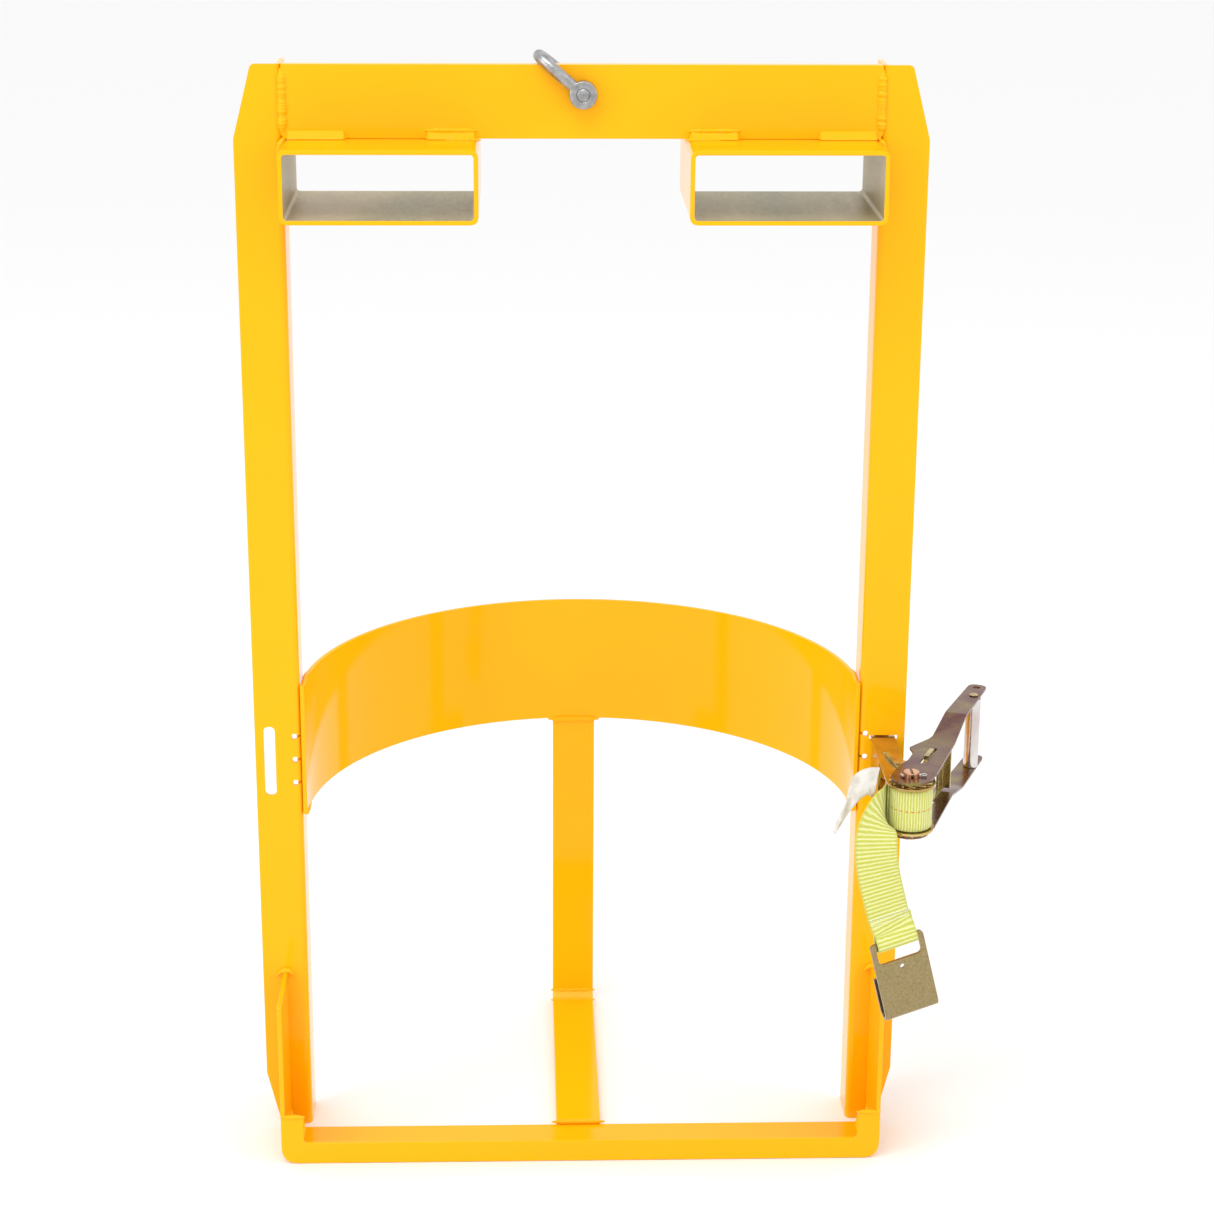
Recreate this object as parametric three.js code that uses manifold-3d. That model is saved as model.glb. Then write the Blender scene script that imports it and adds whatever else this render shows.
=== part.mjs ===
// Drum lifting frame for fork tines or a hoist hook, with a ratchet strap.
// Millimetres, +Z up. The origin is on the floor, on the frame's centre line, in the plane of the
// uprights' front flanges. +Y points to the back, where the cradle band holds the drum.
import * as THREE from 'three';
import * as BufferGeometryUtils from 'three/addons/utils/BufferGeometryUtils.js';
import Module from 'manifold-3d';

const wasm = await Module();
wasm.setup();

// ---------- driving dimensions ----------
const FIT = 0.3;                    // gap left between pieces that touch

const HEIGHT = 1219.2;              // overall height
const OUTER_X = 361.95;             // half the overall width
const WEB_X = 311.15;               // half the clear width between the uprights
const PLATE = 4.76;                 // 3/16 in plate
const ANGLE_DEPTH = 50.8;           // web of each upright, front to back
const HEEL_R = 8;                   // outer bend radius of the uprights
const HEEL_SLIT_Z = [481, 453.6, 426.2];
const HEEL_HOLE_X0 = 316;           // each slit runs into a small square hole
const HEEL_HOLE_X1 = 320.5;

const BEAM_H = 76.2;                // top beam, a flat bar on edge
const BEAM_T = 12.7;
const PIN_Z = HEIGHT - 29.6;        // shackle hole

const POCKET_H = 76.2;              // fork pockets
const POCKET_W = 203.2;
const POCKET_FRONT = -79;
const POCKET_LENGTH = 184;
const POCKET_TOP = HEIGHT - BEAM_H - FIT;
const POCKET_R = 9;

const BAND_R = 311.15 - FIT;        // outer radius of the cradle band
const BAND_LOW = 388;
const BAND_HIGH = 540.4;
const BAND_STEPS = 48;

const POST_W = 50.8;                // back post and floor bar
const POST_X = -2;
const FLOOR_BAR_T = 9.5;
const POST_FRONT = BAND_R - PLATE;

const BASE_FRONT = -93;             // base angle
const BASE_DEPTH = 76.2;
const BASE_X = 339;
const LIP = 25.4;
const LIP_END_H = 58;
const BASE_CORNER_R = 20;
const RISER_H = 195;

const SPOOL_X = 351;                // ratchet
const SPOOL_Y = -134;
const SPOOL_Z = 451;                // middle of the webbing
const EAR_R = 26.5;
const EAR_T = 2.6;
const EAR_PITCH = 51;               // between the middles of the two ears
const EAR_X0 = SPOOL_X - EAR_R;
const EAR_X1 = 351;
const MANDREL_R = 8.5;
const MANDREL_HALF_L = 38;
const WHEEL_TIP_R = 24;
const WHEEL_ROOT_R = 19.5;
const WHEEL_TEETH = 12;
const WHEEL_T = 2;
const ROLL_R = 25;
const ROLL_BORE_R = MANDREL_R + FIT;
const ARM_T = 2.6;
const HANDLE_ANGLE = 24 * Math.PI / 180;
const GRIP_U = 240;                 // along the handle from the spool
const GRIP_V = 4;
const GRIP_R = 8.5;
const GRIP_HALF = 42;               // half the spread of the arms at the grip

const STRAP_W = 46;                 // webbing
const STRAP_T = 2.2;
const LOOP_BAR = [337.3, -169, 306.5];
const LOOP_BAR_R = 3.6;
const HOOK_TILT = 14 * Math.PI / 180;  // leans in the strap's plane
const HOOK_YAW = 12 * Math.PI / 180;   // turned about the strap's length

// ---------- materials ----------
const material = (color, roughness, metalness) =>
  new THREE.MeshStandardMaterial({ color, roughness, metalness });
const paint = () => material(0xfcb514, 0.25, 0.0);
const zinc = () => material(0x9a9c9e, 0.45, 0.9);
const passivate = () => material(0x8f7a4e, 0.35, 0.85);
const webbing = () => material(0xd4e04a, 0.85, 0.0);

// ---------- shape helpers ----------
function toSolid(geometry) {
  const bare = geometry.index ? geometry.toNonIndexed() : geometry.clone();
  bare.deleteAttribute('normal');
  bare.deleteAttribute('uv');
  const merged = BufferGeometryUtils.mergeVertices(bare, 1e-4);
  const solid = new wasm.Manifold(new wasm.Mesh({
    numProp: 3,
    vertProperties: new Float32Array(merged.attributes.position.array),
    triVerts: new Uint32Array(merged.index.array),
  }));
  return solid;
}

function toGeometry(solid) {
  const mesh = solid.getMesh();
  const geometry = new THREE.BufferGeometry();
  geometry.setAttribute('position', new THREE.BufferAttribute(new Float32Array(mesh.vertProperties), 3));
  geometry.setIndex(new THREE.BufferAttribute(new Uint32Array(mesh.triVerts), 1));
  geometry.computeVertexNormals();
  return geometry;
}

function box(x0, x1, y0, y1, z0, z1) {
  const geometry = new THREE.BoxGeometry(x1 - x0, y1 - y0, z1 - z0);
  return toSolid(geometry.translate((x0 + x1) / 2, (y0 + y1) / 2, (z0 + z1) / 2));
}

function extrude(shape, depth, curveSegments = 10) {
  return new THREE.ExtrudeGeometry(shape, { depth, bevelEnabled: false, curveSegments });
}

// A shape drawn in X and Y, standing from z0 to z1.
function plateXY(shape, z0, z1, curveSegments) {
  return toSolid(extrude(shape, z1 - z0, curveSegments).translate(0, 0, z0));
}

// A shape drawn in X and Z, from y0 to y1.
function plateXZ(shape, y0, y1, curveSegments) {
  return toSolid(extrude(shape, y1 - y0, curveSegments).rotateX(Math.PI / 2).translate(0, y1, 0));
}

// A shape drawn in Y and Z, from x0 to x1.
function plateYZ(shape, x0, x1, curveSegments) {
  const turn = new THREE.Matrix4().makeBasis(
    new THREE.Vector3(0, 1, 0), new THREE.Vector3(0, 0, 1), new THREE.Vector3(1, 0, 0));
  return toSolid(extrude(shape, x1 - x0, curveSegments).applyMatrix4(turn).translate(x0, 0, 0));
}

// A closed outline through corners [a, b, radius], each rounded by its own radius.
function outline(corners) {
  const shape = new THREE.Shape();
  const count = corners.length;
  corners.forEach(([a, b, radius = 0], i) => {
    const here = new THREE.Vector2(a, b);
    const before = new THREE.Vector2(...corners[(i + count - 1) % count].slice(0, 2));
    const after = new THREE.Vector2(...corners[(i + 1) % count].slice(0, 2));
    const into = before.clone().sub(here).normalize();
    const out = after.clone().sub(here).normalize();
    const half = Math.acos(THREE.MathUtils.clamp(into.dot(out), -1, 1)) / 2;
    const back = radius > 0 ? radius / Math.tan(half) : 0;
    const start = here.clone().addScaledVector(into, back);
    const end = here.clone().addScaledVector(out, back);
    if (i === 0) shape.moveTo(start.x, start.y);
    else shape.lineTo(start.x, start.y);
    if (radius > 0) shape.quadraticCurveTo(here.x, here.y, end.x, end.y);
  });
  shape.closePath();
  return shape;
}

function rodZ(x, y, z0, z1, radius, sides = 24) {
  const geometry = new THREE.CylinderGeometry(radius, radius, z1 - z0, sides);
  return toSolid(geometry.rotateX(Math.PI / 2).translate(x, y, (z0 + z1) / 2));
}

function rodY(x, z, y0, y1, radius, sides = 24) {
  const geometry = new THREE.CylinderGeometry(radius, radius, y1 - y0, sides);
  return toSolid(geometry.translate(x, (y0 + y1) / 2, z));
}

// A prism with six flats, standing along Z.
const hexZ = (x, y, z0, z1, radius) => rodZ(x, y, z0, z1, radius, 6);

const object = new THREE.Group();
function add(name, solid, finish, parent = object) {
  const mesh = new THREE.Mesh(toGeometry(solid), finish);
  mesh.name = name;
  parent.add(mesh);
  return mesh;
}

// ---------- uprights ----------
// A formed angle: front flange facing the forks, web facing the drum.
function upright(side) {
  const section = outline([
    [side * WEB_X, 0, HEEL_R],
    [side * OUTER_X, 0],
    [side * OUTER_X, PLATE],
    [side * (WEB_X + PLATE), PLATE, 3],
    [side * (WEB_X + PLATE), ANGLE_DEPTH],
    [side * WEB_X, ANGLE_DEPTH],
  ]);
  const front = outline([
    [side * (WEB_X - 20), 0],
    [side * (OUTER_X - 16), 0, 3],
    [side * OUTER_X, 66, 14],
    [side * OUTER_X, HEIGHT - 77, 22],
    [side * (OUTER_X - 20), HEIGHT, 6],
    [side * (WEB_X - 20), HEIGHT],
  ]);
  let solid = plateXY(section, 0, HEIGHT).intersect(plateXZ(front, -20, ANGLE_DEPTH + 20));
  for (const z of HEEL_SLIT_Z) {
    const slit = side < 0
      ? box(-WEB_X - 10, -WEB_X + 5, -5, 12, z - 1.5, z + 1.5)
      : box(WEB_X - 5, WEB_X + 10, -5, 12, z - 1.5, z + 1.5);
    const hole = side < 0
      ? box(-HEEL_HOLE_X1, -HEEL_HOLE_X0, -5, 12, z - 3.5, z + 3.5)
      : box(HEEL_HOLE_X0, HEEL_HOLE_X1, -5, 12, z - 3.5, z + 3.5);
    solid = solid.subtract(slit).subtract(hole);
  }
  return solid;
}

const strapSlotX = -346;
const strapSlot = outline([
  [strapSlotX - 6.25, 411, 6.2], [strapSlotX + 6.25, 411, 6.2],
  [strapSlotX + 6.25, 493, 6.2], [strapSlotX - 6.25, 493, 6.2],
]);
add('left_upright', upright(-1).subtract(plateXZ(strapSlot, -20, 20)), paint());

const EAR_TOP_Z = SPOOL_Z + EAR_PITCH / 2;
const EAR_LOW_Z = SPOOL_Z - EAR_PITCH / 2;
let rightUpright = upright(1);
for (const z of [EAR_TOP_Z, EAR_LOW_Z]) {
  rightUpright = rightUpright.subtract(box(EAR_X0 - 2, EAR_X1 + 3, -5, 20, z - 3, z + 3));
}
add('right_upright', rightUpright, paint());

// ---------- top beam ----------
const beam = box(-WEB_X + FIT, WEB_X - FIT, 0, BEAM_T, HEIGHT - BEAM_H, HEIGHT)
  .subtract(rodY(0, PIN_Z, -5, BEAM_T + 5, 7.6));
add('top_beam', beam, paint());

// ---------- fork pockets ----------
function pocket(side) {
  const outerX = WEB_X - FIT;
  const innerX = outerX - POCKET_W;
  const ring = (inset, radius) => outline([
    [side * (outerX - inset), POCKET_TOP - inset, radius],
    [side * (innerX + inset), POCKET_TOP - inset, radius],
    [side * (innerX + inset), POCKET_TOP - POCKET_H + inset, radius],
    [side * (outerX - inset), POCKET_TOP - POCKET_H + inset, radius],
  ]);
  const back = POCKET_FRONT + POCKET_LENGTH;
  return plateXZ(ring(0, POCKET_R), POCKET_FRONT, back, 5)
    .subtract(plateXZ(ring(PLATE, POCKET_R - PLATE), POCKET_FRONT - 5, back + 5, 5));
}
add('left_fork_pocket', pocket(-1), paint());
add('right_fork_pocket', pocket(1), paint());

// ---------- cradle band ----------
function band() {
  const shape = new THREE.Shape();
  shape.absarc(0, 0, BAND_R, 0.4 / BAND_R, Math.PI - 0.4 / BAND_R, false);
  shape.absarc(0, 0, BAND_R - PLATE, Math.PI - 0.4 / BAND_R, 0.4 / BAND_R, true);
  shape.closePath();
  return plateXY(shape, BAND_LOW, BAND_HIGH, BAND_STEPS);
}
add('cradle_band', band(), paint());

// ---------- back post and floor bar ----------
const postX0 = POST_X - POST_W / 2;
const postX1 = POST_X + POST_W / 2;
add('back_post', box(postX0, postX1, POST_FRONT, POST_FRONT + FLOOR_BAR_T,
  FLOOR_BAR_T + FIT, BAND_LOW - FIT), paint());
add('floor_bar', box(postX0, postX1, BASE_FRONT + BASE_DEPTH + FIT, POST_FRONT + FLOOR_BAR_T,
  0, FLOOR_BAR_T), paint());

// ---------- base angle ----------
// A formed angle laid leg down, with a front lip that turns up at both ends.
function baseAngle() {
  const back = BASE_FRONT + BASE_DEPTH;
  const lip = outline([
    [-BASE_X, 0, BASE_CORNER_R], [BASE_X, 0, BASE_CORNER_R], [BASE_X, LIP_END_H],
    [BASE_X - LIP, LIP_END_H, 2], [BASE_X - LIP, LIP, 3], [-BASE_X + LIP, LIP, 3],
    [-BASE_X + LIP, LIP_END_H, 2], [-BASE_X, LIP_END_H],
  ]);
  const tray = outline([
    [-BASE_X, 0, BASE_CORNER_R], [BASE_X, 0, BASE_CORNER_R], [BASE_X, LIP],
    [BASE_X - PLATE, LIP], [BASE_X - PLATE, PLATE, BASE_CORNER_R - PLATE],
    [-BASE_X + PLATE, PLATE, BASE_CORNER_R - PLATE], [-BASE_X + PLATE, LIP], [-BASE_X, LIP],
  ]);
  return plateXZ(lip, BASE_FRONT, BASE_FRONT + PLATE).add(plateXZ(tray, BASE_FRONT, back));
}
add('base_angle', baseAngle(), paint());

// ---------- risers ----------
// Side plates that stand on the base angle's turned-up ends and reach the uprights.
function riser(side) {
  const back = -FIT;
  const shape = outline([
    [BASE_FRONT, LIP_END_H + FIT], [BASE_FRONT + PLATE + FIT, LIP_END_H + FIT],
    [BASE_FRONT + PLATE + FIT, LIP + FIT], [BASE_FRONT + BASE_DEPTH + FIT, LIP + FIT],
    [BASE_FRONT + BASE_DEPTH + FIT, 0], [back, 0], [back, RISER_H, 3],
    [BASE_FRONT, RISER_H, 3],
  ]);
  const x0 = side > 0 ? BASE_X - PLATE : -BASE_X;
  return plateYZ(shape, x0, x0 + PLATE);
}
add('left_riser', riser(-1), paint());
add('right_riser', riser(1), paint());

// ---------- shackle ----------
// A screw-pin anchor shackle, straddling the beam and leaning on its top edge.
const shackle = new THREE.Group();
shackle.position.set(0, BEAM_T / 2, PIN_Z);
shackle.rotation.y = -50 * Math.PI / 180;
object.add(shackle);

const BOW_ROD_R = 6.1;
const BOW_HALF = 9.7 + BOW_ROD_R;   // from the middle of the jaw to the middle of a leg
const BOW_TOP = 59;
const EYE_R = 14.2;
const EYE_HALF_W = 6.2;
const PIN_R = 6.9;
function shackleBow() {
  const route = new THREE.CatmullRomCurve3([
    new THREE.Vector3(0, -BOW_HALF, 6),
    new THREE.Vector3(0, -BOW_HALF - 0.6, 20),
    new THREE.Vector3(0, -BOW_HALF - 1.6, 34),
    new THREE.Vector3(0, -BOW_HALF + 1.2, 46),
    new THREE.Vector3(0, -BOW_HALF * 0.52, BOW_TOP - 3.4),
    new THREE.Vector3(0, 0, BOW_TOP),
    new THREE.Vector3(0, BOW_HALF * 0.52, BOW_TOP - 3.4),
    new THREE.Vector3(0, BOW_HALF - 1.2, 46),
    new THREE.Vector3(0, BOW_HALF + 1.6, 34),
    new THREE.Vector3(0, BOW_HALF + 0.6, 20),
    new THREE.Vector3(0, BOW_HALF, 6),
  ]);
  const section = new THREE.Shape();
  section.absarc(0, 0, BOW_ROD_R, 0, 2 * Math.PI, false);
  section.curves = section.curves.slice(0, 1);
  const rod = new THREE.ExtrudeGeometry(section, { steps: 40, extrudePath: route, curveSegments: 6 });
  let solid = toSolid(rod);
  for (const side of [-1, 1]) {
    const y = side * BOW_HALF;
    solid = solid.add(rodY(0, 0, y - EYE_HALF_W, y + EYE_HALF_W, EYE_R));
  }
  return solid.subtract(rodY(0, 0, -60, 60, PIN_R + FIT));
}
add('shackle_bow', shackleBow(), zinc(), shackle);

function shacklePin() {
  const outer = BOW_HALF + EYE_HALF_W;
  const profile = [
    [0, -outer - 0.6], [PIN_R - 1.3, -outer - 0.6], [PIN_R, -outer + 1], [PIN_R, outer + FIT],
    [10.5, outer + FIT], [10.5, outer + 3.3], [0, outer + 3.3],
  ].map(([r, y]) => new THREE.Vector2(r, y));
  const shank = toSolid(new THREE.LatheGeometry(profile, 28));
  const hole = toSolid(new THREE.CylinderGeometry(3.6, 3.6, 20, 16)
    .rotateZ(Math.PI / 2).translate(0, outer + 11.5, 0));
  const disc = toSolid(new THREE.CylinderGeometry(9, 9, 6, 24)
    .rotateZ(Math.PI / 2).translate(0, outer + 10.5, 0));
  return shank.add(disc).subtract(hole);
}
add('shackle_pin', shacklePin(), zinc(), shackle);

// ---------- ratchet frame ----------
// One formed plate: two ears that pass through the upright's slots, joined by a wall.
function earShape() {
  const shape = new THREE.Shape();
  shape.moveTo(EAR_X0, 22);
  shape.lineTo(EAR_X0, SPOOL_Y);
  shape.absarc(EAR_X0 + EAR_R, SPOOL_Y, EAR_R, Math.PI, 2 * Math.PI, false);
  shape.lineTo(EAR_X0 + 2 * EAR_R, SPOOL_Y + 18);
  shape.quadraticCurveTo(EAR_X0 + 2 * EAR_R, SPOOL_Y + 40, EAR_X1, SPOOL_Y + 62);
  shape.lineTo(EAR_X1, 22);
  shape.quadraticCurveTo(EAR_X1, 28, EAR_X1 - 8, 28);
  shape.lineTo(EAR_X0 + 8, 28);
  shape.quadraticCurveTo(EAR_X0, 28, EAR_X0, 22);
  return shape;
}
const BOLT_X = (EAR_X0 + EAR_X1) / 2;
const BOLT_Y = 14.5;
const BOLT_R = 4.9;
const LOCK_ANGLE = 12 * Math.PI / 180;   // the lock pawl points at the spool
const LOCK_SLOT_U = [41, 88];
const LOCK_HALF_T = 2.6;
function ratchetFrame() {
  const ear = (z) => plateXY(earShape(), z - EAR_T / 2, z + EAR_T / 2, 14);
  let solid = ear(EAR_TOP_Z).add(ear(EAR_LOW_Z));
  solid = solid.add(box(EAR_X0, EAR_X0 + EAR_T, -70, -8, EAR_LOW_Z, EAR_TOP_Z));
  solid = solid.subtract(rodZ(SPOOL_X, SPOOL_Y, 380, 520, MANDREL_R + FIT));
  solid = solid.subtract(rodZ(BOLT_X, BOLT_Y, 380, 520, BOLT_R + FIT, 20));
  const slot = new THREE.BoxGeometry(2 * LOCK_HALF_T + 0.8, LOCK_SLOT_U[1] - LOCK_SLOT_U[0], 200);
  slot.translate(0, (LOCK_SLOT_U[0] + LOCK_SLOT_U[1]) / 2, 0).rotateZ(LOCK_ANGLE);
  return solid.subtract(toSolid(slot.translate(SPOOL_X, SPOOL_Y, SPOOL_Z)));
}
add('ratchet_frame', ratchetFrame(), passivate());

function anchorBolt() {
  const low = EAR_LOW_Z - EAR_T / 2 - FIT;
  const high = EAR_TOP_Z + EAR_T / 2 + FIT;
  return rodZ(BOLT_X, BOLT_Y, low - 9.5, high + 1, BOLT_R, 20)
    .add(hexZ(BOLT_X, BOLT_Y, high, high + 6.4, 9.2));
}
add('anchor_bolt', anchorBolt(), passivate());
const nutTop = EAR_LOW_Z - EAR_T / 2 - FIT;
add('anchor_nut', hexZ(BOLT_X, BOLT_Y, nutTop - 8, nutTop, 9.2)
  .subtract(rodZ(BOLT_X, BOLT_Y, nutTop - 20, nutTop + 5, BOLT_R + 0.15, 20)), passivate());

// ---------- spool ----------
// Two half-round bars with the webbing threaded between them.
function mandrelHalf(side) {
  const cut = side < 0
    ? box(SPOOL_X - 1.4, SPOOL_X + 20, SPOOL_Y - 20, SPOOL_Y + 20, 380, 520)
    : box(SPOOL_X - 20, SPOOL_X + 1.4, SPOOL_Y - 20, SPOOL_Y + 20, 380, 520);
  const z0 = SPOOL_Z - MANDREL_HALF_L;
  const z1 = SPOOL_Z + MANDREL_HALF_L;
  let solid = rodZ(SPOOL_X, SPOOL_Y, z0, z1, MANDREL_R, 28).subtract(cut);
  for (const z of [z0 + 4, z1 - 4]) {
    const hole = new THREE.CylinderGeometry(1.9, 1.9, 60, 10).rotateZ(Math.PI / 2);
    solid = solid.subtract(toSolid(hole.translate(SPOOL_X, SPOOL_Y, z)));
  }
  return solid;
}
add('spool_half_left', mandrelHalf(-1), passivate());
add('spool_half_right', mandrelHalf(1), passivate());

// A split pin through both halves, its ends bent round them.
function splitPin(z) {
  const leg = new THREE.CylinderGeometry(1.5, 1.5, 2 * MANDREL_R + 9, 10).rotateZ(Math.PI / 2);
  const eye = new THREE.CylinderGeometry(3.2, 3.2, 3, 14).rotateX(Math.PI / 2);
  return toSolid(leg.translate(SPOOL_X, SPOOL_Y, z))
    .add(toSolid(eye.translate(SPOOL_X + MANDREL_R + 5.5, SPOOL_Y, z)));
}
add('split_pin_top', splitPin(SPOOL_Z + MANDREL_HALF_L - 4), passivate());
add('split_pin_bottom', splitPin(SPOOL_Z - MANDREL_HALF_L + 4), passivate());

// Saw-toothed wheels that stand on the ears, outside the webbing.
function ratchetWheel(z0) {
  const shape = new THREE.Shape();
  const step = 2 * Math.PI / WHEEL_TEETH;
  const point = (r, a) => [SPOOL_X + r * Math.cos(a), SPOOL_Y + r * Math.sin(a)];
  shape.moveTo(...point(WHEEL_TIP_R, 0));
  for (let tooth = 0; tooth < WHEEL_TEETH; tooth += 1) {
    const a = tooth * step;
    if (tooth > 0) shape.lineTo(...point(WHEEL_TIP_R, a));
    shape.lineTo(...point(WHEEL_TIP_R, a + 0.1 * step));
    shape.lineTo(...point(WHEEL_ROOT_R, a + 0.22 * step));
    shape.lineTo(...point(WHEEL_ROOT_R, a + 0.52 * step));
  }
  shape.closePath();
  return plateXY(shape, z0, z0 + WHEEL_T)
    .subtract(rodZ(SPOOL_X, SPOOL_Y, 380, 520, MANDREL_R + FIT, 28));
}
const WHEEL_TOP_Z0 = EAR_TOP_Z + EAR_T / 2 + FIT;
const WHEEL_LOW_Z0 = EAR_LOW_Z - EAR_T / 2 - FIT - WHEEL_T;
add('ratchet_wheel_top', ratchetWheel(WHEEL_TOP_Z0), passivate());
add('ratchet_wheel_bottom', ratchetWheel(WHEEL_LOW_Z0), passivate());

const strapRoll = rodZ(SPOOL_X, SPOOL_Y, SPOOL_Z - STRAP_W / 2, SPOOL_Z + STRAP_W / 2, ROLL_R, 40)
  .subtract(rodZ(SPOOL_X, SPOOL_Y, 380, 520, ROLL_BORE_R, 28));
add('strap_roll', strapRoll, webbing());

// ---------- handle ----------
// Drawn along +Y from the spool, then turned to its stowed angle.
const handle = new THREE.Group();
handle.position.set(SPOOL_X, SPOOL_Y, SPOOL_Z);
handle.rotation.z = -HANDLE_ANGLE;
object.add(handle);

const ARM_Z = WHEEL_TOP_Z0 + WHEEL_T + FIT - SPOOL_Z;      // inner face of an arm near the spool
const ARM_BEND_U = [118, 176];
function armSection(sign) {
  const near = ARM_Z;
  const far = GRIP_HALF;
  const rows = [[-40, near], [ARM_BEND_U[0], near], [ARM_BEND_U[1], far], [300, far]];
  const face = rows.map(([u, z]) => [u, sign * z]);
  const back = rows.map(([u, z]) => [u, sign * (z + ARM_T)]).reverse();
  return outline([...face, ...back]);
}
const armOutline = outline([
  [0, -21.5], [0, 21.5], [20, 23, 8], [122, 16, 8], [176, 13, 6],
  [278, 10.5, 9.5], [278, -10.5, 9.5], [176, -11.5, 6], [124, -11.5, 6], [84, -26.5, 3],
  [70, -18, 2], [46, -17, 5], [30, -20.5, 5],
].map(([u, v, r]) => [v, u, r]));
const ARM_END_R = 21.5;
const SLOT_U = [42, 92];
function handleArm(sign) {
  const face = plateXY(armOutline, -80, 80, 4).add(rodZ(0, 0, -80, 80, ARM_END_R, 40));
  let solid = plateYZ(armSection(sign), -40, 40).intersect(face);
  const slot = outline([[-3.6, SLOT_U[0], 3], [3.6, SLOT_U[0], 3], [3.6, SLOT_U[1], 3], [-3.6, SLOT_U[1], 3]]);
  const tip = outline([[-4, 264, 2], [4, 264, 2], [4, 271, 2], [-4, 271, 2]]);
  solid = solid.subtract(rodZ(0, 0, -80, 80, MANDREL_R + FIT));
  solid = solid.subtract(plateXY(slot, -80, 80, 4));
  solid = solid.subtract(rodZ(GRIP_V, GRIP_U, -80, 80, 3.4, 16));
  return solid.subtract(plateXY(tip, -80, 80, 3));
}
add('handle_arm_top', handleArm(1), passivate(), handle);
add('handle_arm_bottom', handleArm(-1), passivate(), handle);

const gripTube = rodZ(GRIP_V, GRIP_U, -GRIP_HALF + FIT, GRIP_HALF - FIT, GRIP_R, 28)
  .subtract(rodZ(GRIP_V, GRIP_U, -80, 80, GRIP_R - 1.6, 24));
add('grip_tube', gripTube, zinc(), handle);
const rivetEnd = GRIP_HALF + ARM_T + FIT;
add('grip_rivet', rodZ(GRIP_V, GRIP_U, -rivetEnd - 1.2, rivetEnd + 1.2, 3, 20)
  .add(rodZ(GRIP_V, GRIP_U, rivetEnd, rivetEnd + 1.2, 5, 20))
  .add(rodZ(GRIP_V, GRIP_U, -rivetEnd - 1.2, -rivetEnd, 5, 20)), passivate(), handle);

// ---------- drive pawl ----------
// A flat pawl: toes that ride on the wheels, tabs that run in the arms' slots, and a release bar.
const PAWL_HALF_T = 2.6;
const TOE_U = WHEEL_TIP_R + 0.8;
const TOE_Z = [EAR_PITCH / 2 + EAR_T / 2 + FIT, ARM_Z - FIT];
function drivePawl() {
  const edge = TOE_Z[1];
  let solid = box(-PAWL_HALF_T, PAWL_HALF_T, 58, 66, -edge, edge);
  for (const sign of [-1, 1]) {
    const z0 = sign > 0 ? TOE_Z[0] : -TOE_Z[1];
    const tab0 = sign > 0 ? TOE_Z[0] : -ARM_Z - ARM_T - 2.5;
    solid = solid.add(box(-PAWL_HALF_T, PAWL_HALF_T, TOE_U, 134, z0, z0 + WHEEL_T));
    solid = solid.add(box(-PAWL_HALF_T, PAWL_HALF_T, 58, 82, tab0, tab0 + 8.2));
  }
  solid = solid.add(box(-PAWL_HALF_T, 0.4, 114, 134, -edge, edge));
  return solid.add(box(-PAWL_HALF_T, 9, 131, 134, -edge, edge));
}
add('drive_pawl', drivePawl(), passivate(), handle);

// ---------- lock pawl ----------
// Slides in the ears' slots and stops the wheels from turning back.
const lockGroup = new THREE.Group();
lockGroup.position.set(SPOOL_X, SPOOL_Y, SPOOL_Z);
lockGroup.rotation.z = LOCK_ANGLE;
object.add(lockGroup);
function lockPawl() {
  const edge = TOE_Z[1];
  const low = LOCK_SLOT_U[0] + 1;
  let solid = box(-LOCK_HALF_T, LOCK_HALF_T, low, low + 36, -edge - 2, edge + 2);
  solid = solid.subtract(box(-10, 10, low + 14, low + 50, -20, 20));
  for (const sign of [-1, 1]) {
    const z0 = sign > 0 ? TOE_Z[0] : -TOE_Z[1];
    solid = solid.add(box(-LOCK_HALF_T, LOCK_HALF_T, TOE_U, low + 4, z0, z0 + WHEEL_T));
  }
  return solid;
}
add('lock_pawl', lockPawl(), passivate(), lockGroup);

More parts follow.
